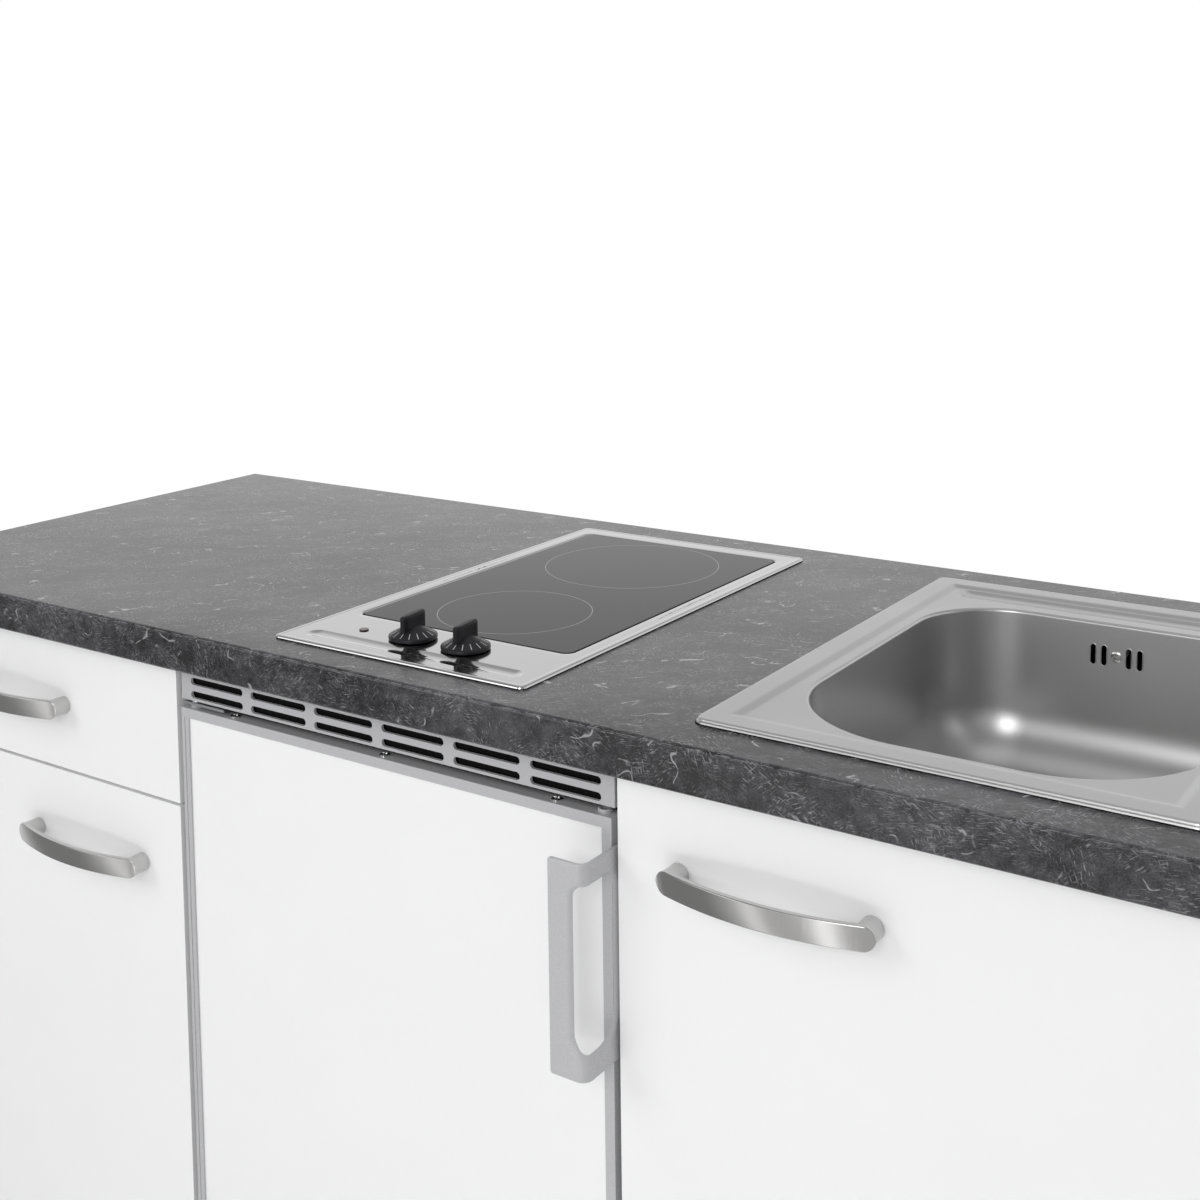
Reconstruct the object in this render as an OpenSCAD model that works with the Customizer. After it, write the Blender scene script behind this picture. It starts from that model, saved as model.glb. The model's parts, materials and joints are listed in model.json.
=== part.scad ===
// Kitchenette unit: one worktop over a drawer cabinet, a built-under fridge and a
// sink cabinet, with a two-zone hob and an inset sink. Millimetres, +Z up.
// Sizes below are measured from the worktop's left end (x), from its front edge (y)
// and from the floor (z). place() then centres the whole unit on the origin.

/* [Bays] */
// Width of the drawer cabinet on the left
left_w = 500; // [480:5:600]
// Width of the niche that holds the fridge
niche_w = 500; // [500:5:540]
// Width of the sink cabinet on the right
right_w = 500; // [490:5:600]
// Height of the cabinet boxes
carcass_h = 720; // [700:5:760]
// Depth of the cabinet boxes
carcass_d = 550; // [530:5:560]
// Height of the adjustable feet under the cabinets
foot_h = 102; // [95:1:125]
// Thickness of the cabinet boards
board_t = 16; // [15:0.5:19]
// Thickness of the hardboard backs
back_t = 3; // [2.5:0.5:5]
// Distance from the back panel to the cabinet's rear edge
back_inset = 9; // [5:1:15]

/* [Worktop] */
// Depth of the worktop, front to wall
worktop_d = 600; // [600:5:640]
// Thickness of the worktop
worktop_t = 38; // [38:1:42]
// Radius of the worktop's front edges
worktop_edge_r = 4; // [2:0.5:8]
// Thickness of the bands glued on the worktop's ends
end_band_t = 1; // [0.6:0.2:2]

/* [Fronts] */
// Thickness of doors and drawer front
front_t = 16; // [15:0.5:17]
// Setback of the fronts' faces behind the worktop's front edge
front_setback = 15; // [12:1:20]
// Air between the back of a front and the cabinet box
front_air = 2; // [1.8:0.1:2.4]
// Margin between a front and the edge of its bay
front_margin = 2; // [1.5:0.5:3]
// Height of the drawer front
drawer_front_h = 134; // [125:1:150]
// Gap between the drawer front and the door below it
front_gap = 3; // [2:0.5:5]

/* [Bow handles] */
// Distance between the two feet of a bow handle
bow_pitch = 160; // [128:1:192]
// Height of the bow's flat band
bow_band_h = 19; // [16:0.5:24]
// Thickness of the band
bow_band_t = 5; // [4:0.5:7]
// Reach of the bow in front of the door
bow_reach = 33; // [30:1:40]
// Rise of the bow between its ends
bow_rise = 15; // [8:1:18]
// Diameter of the round feet
bow_foot_dia = 18; // [14:0.5:19]
// Distance from a door's free edge to the handle's nearer foot
bow_edge_distance = 56; // [40:1:90]
// Distance from a door's top down to the handle's centre line
bow_drop = 67.5; // [40:0.5:120]

/* [Drawer] */
// Length of the drawer box
drawer_len = 450; // [400:10:460]
// Height of the drawer sides
drawer_side_h = 80; // [60:5:85]
// Thickness of the drawer sides and back
drawer_side_t = 12; // [10:1:14]
// Thickness of the drawer bottom
drawer_bottom_t = 3; // [3:0.5:5]
// Space for a runner on each side of the drawer box
runner_space = 12.5; // [12:0.1:13]

/* [Fridge] */
// Gap between the fridge case and each cabinet
case_gap = 6; // [5:0.5:10]
// Distance from the fridge top to the worktop's underside
case_drop = 36; // [34:1:60]
// Depth of the fridge case without its door
case_d = 490; // [460:5:495]
// Thickness of the insulated walls
case_wall = 30; // [26:1:36]
// Thickness of the inner plastic liner
liner_t = 2; // [1.5:0.5:3]
// Height of the fridge's own feet
case_foot_h = 25; // [20:1:35]
// Thickness of the fridge door from its face to the gasket
door_t = 45; // [42:1:50]
// Gap between the fridge door and the niche's sides
door_gap = 4; // [3.5:0.5:6]
// Visible width of the grey profiles round the door
profile_w = 9.5; // [8:0.5:12]
// Distance of the hinge pins from the door's side edge
pin_edge = 12; // [12:0.5:16]
// Distance of the hinge pins behind the door's face
pin_depth = 10; // [10:0.5:14]
// Radius of the hinge pins
pin_r = 4; // [3:0.25:5]
// Height of the vent grille
grille_h = 31.5; // [30:0.5:40]
// Height of the fridge door's grip
grip_h = 175; // [150:5:220]
// Reach of the grip in front of the door's face
grip_reach = 43; // [35:1:50]
// Width of the grip's front plate
grip_w = 35; // [30:1:50]

/* [Hob] */
// Width of the hob frame on each side of the glass
hob_side = 20; // [16:1:26]
// Depth of the hob frame behind the glass
hob_back = 25.5; // [20:0.5:30]
// Distance from the worktop's front edge to the hob frame
hob_front = 38; // [34:1:45]
// Height of the hob frame above the worktop
hob_rim_h = 3; // [2.5:0.5:5]
// Width of the glass
glass_w = 248; // [230:1:250]
// Depth of the glass
glass_d = 393; // [380:1:400]
// Distance from the hob's front edge to the glass
glass_front = 95.5; // [90:0.5:100]
// Thickness of the glass
glass_t = 4; // [4:0.5:6]
// Diameter of the front heater
front_zone_dia = 150; // [140:1:160]
// Diameter of the rear heater
rear_zone_dia = 186; // [180:1:190]
// Diameter of a knob's skirt
knob_dia = 45; // [38:1:50]
// Height of a knob
knob_h = 24; // [20:0.5:30]

/* [Sink] */
// Width of the ledge left of the bowl
left_ledge = 41; // [36:1:46]
// Width of the ledge right of the bowl
right_ledge = 28; // [24:1:34]
// Width of the ledge in front of the bowl
front_ledge = 35; // [32:1:40]
// Width of the ledge behind the bowl, which holds the tap
rear_ledge = 75; // [72:1:80]
// Distance from the sink cabinet's left edge to the sink
sink_left = 51; // [48:1:54]
// Distance from the worktop's front edge to the sink
sink_front = 46; // [44:1:50]
// Height of the sink's rim above the worktop
sink_rim_h = 4.5; // [4:0.5:6]
// Thickness of the pressed sheet
sheet_t = 1; // [0.8:0.1:1.2]
// Width of the bowl's mouth
bowl_w = 318; // [300:1:322]
// Depth of the bowl's mouth, front to back
bowl_d = 395; // [370:1:400]
// Depth of the bowl below the deck
bowl_deep = 145; // [130:1:160]
// Radius of the bowl's front corners
bowl_front_r = 110; // [95:1:120]
// Radius of the bowl's rear corners
bowl_back_r = 78; // [76:1:90]
// Diameter of the tap hole in the rear ledge
tap_hole_dia = 35; // [33:0.5:36]
// Outer diameter of the waste pipe
waste_dia = 40; // [32:1:50]

/* [Hidden] */
$fn = 48;

// Small running and seating clearances
slip = 0.3;
bore_slip = 0.05;
eps = 0.5;

// Heights
worktop_z = foot_h + carcass_h;
unit_h = worktop_z + worktop_t;
unit_w = left_w + niche_w + right_w;
niche_x = left_w;
right_x = left_w + niche_w;

// Depths: face of the fronts, front and rear of the cabinet boxes
front_back_y = front_setback + front_t;
carcass_y = front_back_y + front_air;
carcass_back_y = carcass_y + carcass_d;
back_y = carcass_back_y - back_inset - back_t;
front_z = foot_h + front_margin;
front_top_z = worktop_z - front_margin;
left_door_top_z = front_top_z - drawer_front_h - front_gap;

// Rails, shelf and brackets
rail_w = 100;
sink_rail_h = 60;
shelf_rise = 293;
shelf_z = foot_h + shelf_rise;
shelf_setback = 27;
shelf_pin_r = 2.5;
shelf_pin_depth = 8;
bracket_leg = 20;
bracket_t = 2;
service_cut = [150, 150];

// Plinth and feet
plinth_recess = 50;
foot_column_r = 14;
foot_inset_x = 60;
foot_inset_y = 78;

// Cup hinges
cup_r = 17.5;
cup_depth = 12;
cup_edge = 22.5;
cup_flange_t = front_air - 0.5;
hinge_end = 100;
left_hinge_z = [front_z + hinge_end, left_door_top_z - hinge_end];
right_hinge_z = [front_z + hinge_end, front_top_z - hinge_end];

// Drawer runners
runner_h = 30;
runner_t = 1.2;
runner_z = left_door_top_z + 14;
runner_y = carcass_y + 3;
roller_w = 8;
drawer_x0 = board_t + runner_space;
drawer_x1 = left_w - board_t - runner_space;
drawer_z = runner_z + 5;

// Fridge levels and planes
case_x0 = niche_x + case_gap;
case_x1 = right_x - case_gap;
case_y = front_setback + door_t + 10;
case_back_y = case_y + case_d;
case_top_z = worktop_z - case_drop;
cavity_x0 = case_x0 + case_wall;
cavity_x1 = case_x1 - case_wall;
cavity_back_y = case_back_y - case_wall;
cavity_top_z = case_top_z - case_wall;
cavity_z = case_foot_h + case_wall;
machine_h = 172;
machine_d = 178;
machine_z = case_foot_h + 6;
machine_y = case_back_y - machine_d;
step_z = machine_z + machine_h + case_wall + 2;
step_y = machine_y - case_wall - 2;
cavity_span = cavity_top_z - step_z;
shelf_glass_t = 5;
fridge_shelf_z = [step_z + liner_t, step_z + 0.32 * cavity_span, step_z + 0.66 * cavity_span];
fridge_shelf_d = 390;
shelf_y = cavity_back_y - fridge_shelf_d;

// Fridge door
door_x0 = niche_x + door_gap;
door_x1 = right_x - door_gap;
door_z = front_z;
door_top_z = case_top_z - 3.5;
door_back_y = front_setback + door_t;
profile_t = 2;
profile_depth = 30;
panel_t = 3;
core_y = front_setback + profile_t + panel_t;
pin_y = front_setback + pin_depth;
pin_x = [door_x0 + pin_edge, door_x1 - pin_edge];
bush_h = 3;
bush_r = pin_r + 2;
pin_len = 18;
hinge_plate_t = 2.5;
grip_t = 4;
grip_side_t = 3;
grip_top_z = unit_h - 100;
grip_bend_r = 10;

// Grille
grille_w = niche_w - 5;
grille_t = 3;
grille_z = case_top_z + 4;
grille_y = front_setback + 3;
slot_len = 69.5;
slot_pitch = 80;
slot_h = 7;
slot_row = 13;
slot_cols = 6;

// Hob
hob_x = niche_x + niche_w / 2;
hob_w = glass_w + 2 * hob_side;
hob_d = glass_front + glass_d + hob_back;
hob_r = 6;
hob_sheet = 1.2;
hob_top_z = unit_h + hob_rim_h;
hob_cut_inset = 10;
glass_drop = 0.7;
glass_ledge = 5;
glass_y = hob_front + glass_front;
glass_top_z = hob_top_z - glass_drop;
glass_z = glass_top_z - glass_t;
tray_inset = 14;
tray_deep = 51;
tray_z = hob_top_z - tray_deep;
heater_h = 25;
zone_y = [glass_y + glass_ledge + 5.5 + front_zone_dia / 2,
          glass_y + glass_d - glass_ledge - eps - rear_zone_dia / 2];
knob_y = hob_front + 60;
knob_x = [hob_x - 25.5, hob_x + 36];
lamp_at = [hob_x - 82, hob_front + 56];
lamp_r = 3;
spindle_r = 3;
knob_lift = 0.4;
bead_y = hob_front + 29.5;
bead_len = 242;

// Sink
sink_x = right_x + sink_left;
sink_top_z = unit_h + sink_rim_h;
sink_r = 10;
sink_ledge = 28;
deck_drop = 2;
deck_z = sink_top_z - deck_drop;
sink_cut_inset = 10;
sink_w = left_ledge + bowl_w + right_ledge;
sink_d = front_ledge + bowl_d + rear_ledge;
bowl_x = sink_x + left_ledge + bowl_w / 2;
bowl_y = sink_front + front_ledge;
bowl_taper = 4;
bowl_fillet = 45;
bowl_floor_z = deck_z - bowl_deep;
drain_at = [bowl_x, bowl_y + bowl_d / 2];
drain_hole_r = 30;
drain_rim_r = 36;
tap_side = 51;
tap_at = [sink_x + sink_w - tap_side,
          bowl_y + bowl_d + (rear_ledge - sink_ledge) / 2];
overflow_x = bowl_x + 3;
overflow_drop = 28;
overflow_z = unit_h - overflow_drop;
overflow_slots = [-21.4, -11.3, 11.3, 21.4];
overflow_slot = [5.5, 19.5];
overflow_box = [64, 22, 40];
overflow_pipe_r = 9;
overflow_gap = 0.5;
trap_r = 35;
trap_drop = 175;
trap_h = 95;
trap_z = bowl_floor_z - trap_drop;
waste_rise = 65;
waste_z = trap_z + waste_rise;
waste_end_y = worktop_d - 4;

// Extent of the unit: the fridge grip is the foremost point, the wall edge the rearmost
foremost_y = min(front_setback - grip_reach, front_setback - bow_reach);
y_mid = (foremost_y + worktop_d) / 2;

module place() translate([-unit_w / 2, -y_mid, 0]) children();

// Box between two opposite corners
module block(lo, hi) translate(lo) cube(hi - lo);

// Round bars along the three axes, starting at a point
module rod_x(at, r, len) translate(at) rotate([0, 90, 0]) cylinder(r = r, h = len);
module rod_y(at, r, len) translate(at) rotate([-90, 0, 0]) cylinder(r = r, h = len);
module rod_z(at, r, len) translate(at) cylinder(r = r, h = len);

// Rectangle with round corners, its lowest corner at the origin
module round_rect(size, r) {
  translate([r, 0]) square([size.x - 2 * r, size.y]);
  translate([0, r]) square([size.x, size.y - 2 * r]);
  for (x = [r, size.x - r], y = [r, size.y - r]) translate([x, y]) circle(r);
}

// Plate with round corners
module round_plate(at, size, r, t) translate(at) linear_extrude(t) round_rect(size, r);

// Frame between two round rectangles, in plan
module round_ring(at, size, r, wall, t) translate(at) linear_extrude(t) difference() {
  round_rect(size, r);
  translate([wall, wall]) round_rect(size - [2 * wall, 2 * wall], max(r - wall, 0.5));
}

// Things that stand at both ends of a span
module mirrored_x(mid) {
  children();
  translate([2 * mid, 0, 0]) mirror([1, 0, 0]) children();
}

// ---------- worktop ----------

// Section through the worktop with both front edges rounded
module worktop_section() {
  r = worktop_edge_r;
  translate([r, 0]) square([worktop_d - r, worktop_t]);
  translate([0, r]) square([r, worktop_t - 2 * r]);
  for (z = [r, worktop_t - r]) translate([r, z]) circle(r);
}

module worktop_run(x0, x1)
  translate([x0, 0, worktop_z]) rotate([90, 0, 90]) linear_extrude(x1 - x0) worktop_section();

module worktop() color("dimgray") place() difference() {
  worktop_run(end_band_t, unit_w - end_band_t);
  block([hob_x - hob_w / 2 + hob_cut_inset, hob_front + hob_cut_inset + 2, worktop_z - eps],
        [hob_x + hob_w / 2 - hob_cut_inset, hob_front + hob_d - hob_cut_inset - 2, unit_h + eps]);
  block([sink_x + sink_cut_inset, sink_front + sink_cut_inset, worktop_z - eps],
        [sink_x + sink_w - sink_cut_inset, sink_front + sink_d - sink_cut_inset, unit_h + eps]);
}

module worktop_end_bands() color("slategray") place() {
  worktop_run(0, end_band_t);
  worktop_run(unit_w - end_band_t, unit_w);
}

// Steel angles that hold the worktop to the cabinet sides
module worktop_bracket(side_x, dir, y) {
  reach = dir * bracket_leg;
  x0 = min(side_x, side_x + reach);
  x1 = max(side_x, side_x + reach);
  block([x0, y, worktop_z - bracket_t], [x1, y + bracket_leg, worktop_z]);
  wall_x = side_x + dir * bracket_t;
  block([min(side_x, wall_x), y, worktop_z - bracket_leg],
        [max(side_x, wall_x), y + bracket_leg, worktop_z - bracket_t]);
}

module worktop_brackets() color("silver") place()
  for (y = [carcass_y + rail_w + 10, back_y - rail_w - 30]) {
    worktop_bracket(board_t, 1, y);
    worktop_bracket(left_w - board_t, -1, y);
    worktop_bracket(right_x + board_t, 1, y);
    worktop_bracket(unit_w - board_t, -1, y);
  }

// ---------- cabinet boxes ----------

module side_panel(x) block([x, carcass_y, foot_h], [x + board_t, carcass_back_y, worktop_z]);

// Places of the shelf pins along the depth of a side
shelf_pin_y = [carcass_y + 60, back_y - 60];

module shelf_pin_holes(x) for (y = shelf_pin_y)
  rod_x([x, y, shelf_z - shelf_pin_r], shelf_pin_r, shelf_pin_depth);

module left_outer_side() color("gainsboro") place() difference() {
  side_panel(0);
  shelf_pin_holes(board_t - shelf_pin_depth);
}

module left_inner_side() color("gainsboro") place() difference() {
  side_panel(left_w - board_t);
  shelf_pin_holes(left_w - board_t);
}

module right_inner_side() color("gainsboro") place() side_panel(right_x);

module right_outer_side() color("gainsboro") place() side_panel(unit_w - board_t);

module cabinet_bottoms() color("gainsboro") place() {
  block([board_t, carcass_y, foot_h], [left_w - board_t, carcass_back_y, foot_h + board_t]);
  block([right_x + board_t, carcass_y, foot_h],
        [unit_w - board_t, carcass_back_y, foot_h + board_t]);
}

module back_panel(x0, x1) block([x0, back_y, foot_h + board_t], [x1, back_y + back_t, worktop_z]);

module left_back() color("gainsboro") place() back_panel(board_t, left_w - board_t);

// The sink cabinet's back has a cut-out for the water and waste pipes
module right_back() color("gainsboro") place() difference() {
  back_panel(right_x + board_t, unit_w - board_t);
  block([drain_at.x - service_cut.x / 2, back_y - eps, waste_z - service_cut.y / 2],
        [drain_at.x + service_cut.x / 2, back_y + back_t + eps, waste_z + service_cut.y / 2]);
}

// Flat rails: the drawer passes below the front one
module left_top_rails() color("gainsboro") place()
  for (y = [carcass_y, back_y - rail_w])
    block([board_t, y, worktop_z - board_t], [left_w - board_t, y + rail_w, worktop_z]);

// Upright rails, which leave room for the sink bowl
module right_top_rails() color("gainsboro") place()
  for (y = [carcass_y, back_y - board_t])
    block([right_x + board_t, y, worktop_z - sink_rail_h],
          [unit_w - board_t, y + board_t, worktop_z]);

module cabinet_shelf() color("gainsboro") place()
  block([board_t + eps, carcass_y + shelf_setback, shelf_z],
        [left_w - board_t - eps, back_y - eps, shelf_z + board_t]);

module shelf_pins() color("silver") place() for (y = shelf_pin_y) {
  pin = shelf_pin_r - bore_slip;
  len = 2 * shelf_pin_depth;
  rod_x([board_t - shelf_pin_depth, y, shelf_z - shelf_pin_r], pin, len);
  rod_x([left_w - board_t - shelf_pin_depth, y, shelf_z - shelf_pin_r], pin, len);
}

// Places of the feet below a cabinet that starts at x and is w wide
function foot_places(x, w) =
  [for (fx = [x + foot_inset_x, x + w - foot_inset_x],
        fy = [carcass_y + foot_inset_y, carcass_back_y - foot_inset_y]) [fx, fy]];
all_feet = concat(foot_places(0, left_w), foot_places(right_x, right_w));

plinth_y = front_setback + plinth_recess;

// Boards with C-shaped clips that snap round the front feet
clip_wall = 4;
clip_h = 16;
module plinth_board(x, w) {
  foot_y = carcass_y + foot_inset_y;
  clip_r = foot_column_r + clip_wall;
  clip_z = (foot_h - clip_h) / 2;
  block([x, plinth_y, 0], [x + w, plinth_y + board_t, foot_h - 1]);
  for (fx = [x + foot_inset_x, x + w - foot_inset_x]) difference() {
    block([fx - clip_r, plinth_y + board_t, clip_z],
          [fx + clip_r, foot_y + foot_column_r / 2, clip_z + clip_h]);
    rod_z([fx, foot_y, clip_z - eps], foot_column_r + slip, clip_h + 2 * eps);
  }
}

module plinth_boards() color("white") place() {
  plinth_board(0, left_w);
  plinth_board(right_x, right_w);
}

// Screw feet: a wide pad, a column and a flange under the bottom board
module cabinet_feet() color("dimgray") place() for (p = all_feet) {
  rod_z([p.x, p.y, 0], 2 * foot_column_r - 2, 8);
  rod_z([p.x, p.y, 0], foot_column_r, foot_h);
  rod_z([p.x, p.y, foot_h - 5], 2 * foot_column_r - 2, 5);
}

// ---------- cup hinges ----------

mount_plate_t = 2;
mount_plate_y = 26;
mount_plate_h = 44;
hinge_arm_t = 10;
hinge_arm_len = 52;
hinge_arm_h = 14;

// Arm and mounting plate on a cabinet side. dir is +1 where the side is on the left.
module hinge_plate(side_x, dir, z) {
  plate_x = side_x + dir * mount_plate_t;
  arm_x = plate_x + dir * hinge_arm_t;
  arm_end = carcass_y + hinge_arm_len;
  block([min(side_x, plate_x), carcass_y + mount_plate_y, z - mount_plate_h / 2],
        [max(side_x, plate_x), arm_end, z + mount_plate_h / 2]);
  block([min(plate_x, arm_x), carcass_y, z - hinge_arm_h / 2],
        [max(plate_x, arm_x), arm_end, z + hinge_arm_h / 2]);
}

module hinge_plates() color("silver") place() {
  for (z = left_hinge_z) hinge_plate(board_t, 1, z);
  for (z = right_hinge_z) hinge_plate(unit_w - board_t, -1, z);
}

// Bore for a cup in the back of a door
module cup_bore(x, z) rod_y([x, front_back_y - cup_depth, z], cup_r, cup_depth + eps);

// Pressed cup with its flange on the door's back
module hinge_cup(x, z) difference() {
  union() {
    rod_y([x, front_back_y - cup_depth + 0.2, z], cup_r - bore_slip, cup_depth - 0.2);
    block([x - 9, front_back_y, z - 26], [x + 9, front_back_y + cup_flange_t, z + 26]);
  }
  rod_y([x, front_back_y - cup_depth + 2, z], 8, cup_depth + 3);
}

module left_hinge_cups() color("silver") place()
  for (z = left_hinge_z) hinge_cup(front_margin + cup_edge, z);

module right_hinge_cups() color("silver") place()
  for (z = right_hinge_z) hinge_cup(unit_w - front_margin - cup_edge, z);

// ---------- bow handles ----------

bow_end_y = front_setback - bow_reach + bow_rise;
bow_len = bow_pitch + bow_band_h;
bow_r = (pow(bow_len / 2, 2) + pow(bow_rise, 2)) / (2 * bow_rise);
bow_screw_r = 2;

// Flat band bent to an arc, with half-round ends, on two round feet; the fixing
// screws come through the front from behind
module bow_handle(x, z) {
  arc_y = front_setback - bow_reach + bow_r;
  intersection() {
    translate([x, arc_y, z - bow_band_h / 2]) linear_extrude(bow_band_h) difference() {
      circle(bow_r, $fn = 180);
      circle(bow_r - bow_band_t, $fn = 180);
    }
    translate([x - bow_len / 2, bow_end_y + bow_band_t + 1, z - bow_band_h / 2])
      rotate([90, 0, 0]) linear_extrude(bow_rise + bow_band_t + 2)
        round_rect([bow_len, bow_band_h], bow_band_h / 2 - 0.01);
  }
  for (fx = [x - bow_pitch / 2, x + bow_pitch / 2]) {
    inner_y = arc_y - sqrt(pow(bow_r - bow_band_t / 2, 2) - pow(bow_pitch / 2, 2));
    rod_y([fx, inner_y, z], bow_foot_dia / 2, front_setback - inner_y);
    rod_y([fx, front_setback - 1, z], bow_screw_r, front_t + 1 + 1);
    rod_y([fx, front_back_y, z], 2 * bow_screw_r, front_air - 0.4);
  }
}

module bow_holes(x, z) for (fx = [x - bow_pitch / 2, x + bow_pitch / 2])
  rod_y([fx, front_setback - eps, z], bow_screw_r + 0.2, front_t + 2 * eps);

drawer_bow = [left_w / 2, front_top_z - drawer_front_h / 2];
left_bow = [left_w - front_margin - bow_edge_distance - bow_pitch / 2,
            left_door_top_z - bow_drop];
right_bow = [right_x + front_margin + bow_edge_distance + bow_pitch / 2,
             front_top_z - bow_drop];

module drawer_handle() color("lightslategray") place() bow_handle(drawer_bow.x, drawer_bow.y);
module left_door_handle() color("lightslategray") place() bow_handle(left_bow.x, left_bow.y);
module right_door_handle() color("lightslategray") place() bow_handle(right_bow.x, right_bow.y);

// ---------- doors and drawer ----------

module left_door() color("white") place() difference() {
  block([front_margin, front_setback, front_z],
        [left_w - front_margin, front_back_y, left_door_top_z]);
  for (z = left_hinge_z) cup_bore(front_margin + cup_edge, z);
  bow_holes(left_bow.x, left_bow.y);
}

module right_door() color("white") place() difference() {
  block([right_x + front_margin, front_setback, front_z],
        [unit_w - front_margin, front_back_y, front_top_z]);
  for (z = right_hinge_z) cup_bore(unit_w - front_margin - cup_edge, z);
  bow_holes(right_bow.x, right_bow.y);
}

module drawer_front() color("white") place() difference() {
  block([front_margin, front_setback, front_top_z - drawer_front_h],
        [left_w - front_margin, front_back_y, front_top_z]);
  bow_holes(drawer_bow.x, drawer_bow.y);
}

drawer_back_y = front_back_y + drawer_len;

module drawer_sides() color("gainsboro") place() mirrored_x(left_w / 2)
  block([drawer_x0, front_back_y, drawer_z],
        [drawer_x0 + drawer_side_t, drawer_back_y, drawer_z + drawer_side_h]);

module drawer_back() color("gainsboro") place()
  block([drawer_x0 + drawer_side_t, drawer_back_y - drawer_side_t, drawer_z + drawer_bottom_t],
        [drawer_x1 - drawer_side_t, drawer_back_y, drawer_z + drawer_side_h]);

module drawer_bottom() color("whitesmoke") place()
  block([drawer_x0 + drawer_side_t, front_back_y, drawer_z],
        [drawer_x1 - drawer_side_t, drawer_back_y, drawer_z + drawer_bottom_t]);

roller_r = runner_h / 2 - runner_t - slip;
front_roller_r = roller_r - 4;
runner_depth = runner_space - runner_t - 2 * slip;

// Fixed C-shaped rail on a cabinet side, with the roller at its mouth
module drawer_runner() {
  x0 = board_t;
  difference() {
    block([x0, runner_y, runner_z], [x0 + runner_depth, runner_y + drawer_len, runner_z + runner_h]);
    block([x0 + runner_t, runner_y - eps, runner_z + runner_t],
          [x0 + runner_depth + eps, runner_y + drawer_len + eps, runner_z + runner_h - runner_t]);
  }
  rod_x([x0 + runner_t, runner_y + front_roller_r + 1, runner_z + runner_t + front_roller_r],
        front_roller_r, roller_w);
}

module drawer_runners() color("white") place() mirrored_x(left_w / 2) drawer_runner();

// Moving L-shaped rail under the drawer side: its lip rides on the front roller and
// its own roller runs in the fixed rail at the back
module drawer_slide() {
  x1 = drawer_x0;
  x0 = x1 - runner_t;
  lip_z = runner_z + runner_t + 2 * front_roller_r + slip;
  tail_y = drawer_back_y - 2 * roller_r - 6;
  block([x0, front_back_y + 2, lip_z], [x1, drawer_back_y, drawer_z + 20]);
  block([x0 - 7, front_back_y + 6, lip_z], [x0, tail_y, lip_z + runner_t]);
  rod_x([x0 - roller_w, drawer_back_y - roller_r - 2, runner_z + runner_h / 2], roller_r,
        roller_w);
}

module drawer_slides() color("white") place() mirrored_x(left_w / 2) drawer_slide();

// ---------- fridge body ----------

module fridge_case() color("white") place() difference() {
  block([case_x0, case_y, case_foot_h], [case_x1, case_back_y, case_top_z]);
  block([cavity_x0, case_y - eps, step_z], [cavity_x1, cavity_back_y, cavity_top_z]);
  block([cavity_x0, case_y - eps, cavity_z], [cavity_x1, step_y, step_z + eps]);
  block([cavity_x0, machine_y, machine_z],
        [cavity_x1, case_back_y + eps, machine_z + machine_h]);
}

module liner_ribs() for (z = [fridge_shelf_z[1], fridge_shelf_z[2]])
  mirrored_x(hob_x)
    block([cavity_x0 + liner_t - eps, shelf_y + 20, z - 6],
          [cavity_x0 + liner_t + 8, cavity_back_y - 20, z]);

module fridge_liner() color("whitesmoke") place() {
  difference() {
    union() {
      block([cavity_x0, case_y, step_z], [cavity_x1, cavity_back_y, cavity_top_z]);
      block([cavity_x0, case_y, cavity_z], [cavity_x1, step_y, step_z + eps]);
    }
    block([cavity_x0 + liner_t, case_y - eps, step_z + liner_t],
          [cavity_x1 - liner_t, cavity_back_y - liner_t, cavity_top_z - liner_t]);
    block([cavity_x0 + liner_t, case_y - eps, cavity_z + liner_t],
          [cavity_x1 - liner_t, step_y - liner_t, step_z + liner_t + eps]);
  }
  liner_ribs();
}

module fridge_shelves() color("lightcyan") place() for (z = fridge_shelf_z)
  block([cavity_x0 + liner_t + eps, shelf_y, z],
        [cavity_x1 - liner_t - eps, cavity_back_y - liner_t - eps, z + shelf_glass_t]);

grille_flange_t = 1.5;
grille_flange_y = 45;
grille_pad_pitch = 120;
grille_pad_w = 30;
grille_pad_y = [5, 40];

// Vent grille: a slotted front plate, with a flange that stands on the case
module fridge_grille() color("darkgray") place() {
  x0 = hob_x - grille_w / 2;
  difference() {
    block([x0, grille_y, grille_z], [x0 + grille_w, grille_y + grille_t, grille_z + grille_h]);
    for (col = [0 : slot_cols - 1], row = [0, 1])
      translate([hob_x + (col - (slot_cols - 1) / 2) * slot_pitch - slot_len / 2,
                 grille_y + grille_t + eps, grille_z + 2.5 + row * slot_row])
        rotate([90, 0, 0]) linear_extrude(grille_t + 2 * eps)
          round_rect([slot_len, slot_h], slot_h / 2 - 0.01);
  }
  block([x0, grille_y + grille_t, grille_z],
        [x0 + grille_w, case_y + grille_flange_y, grille_z + grille_flange_t]);
  for (x = [hob_x - grille_pad_pitch, hob_x, hob_x + grille_pad_pitch])
    block([x - grille_pad_w / 2, case_y + grille_pad_y[0], case_top_z],
          [x + grille_pad_w / 2, case_y + grille_pad_y[1], grille_z]);
}

module fridge_feet() color("dimgray") place()
  for (x = [case_x0 + 40, case_x1 - 40], y = [case_y + 40, case_back_y - 40])
    rod_z([x, y, 0], 15, case_foot_h);

hinge_plate_len = 54;
hinge_plate_back = 40;

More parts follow.
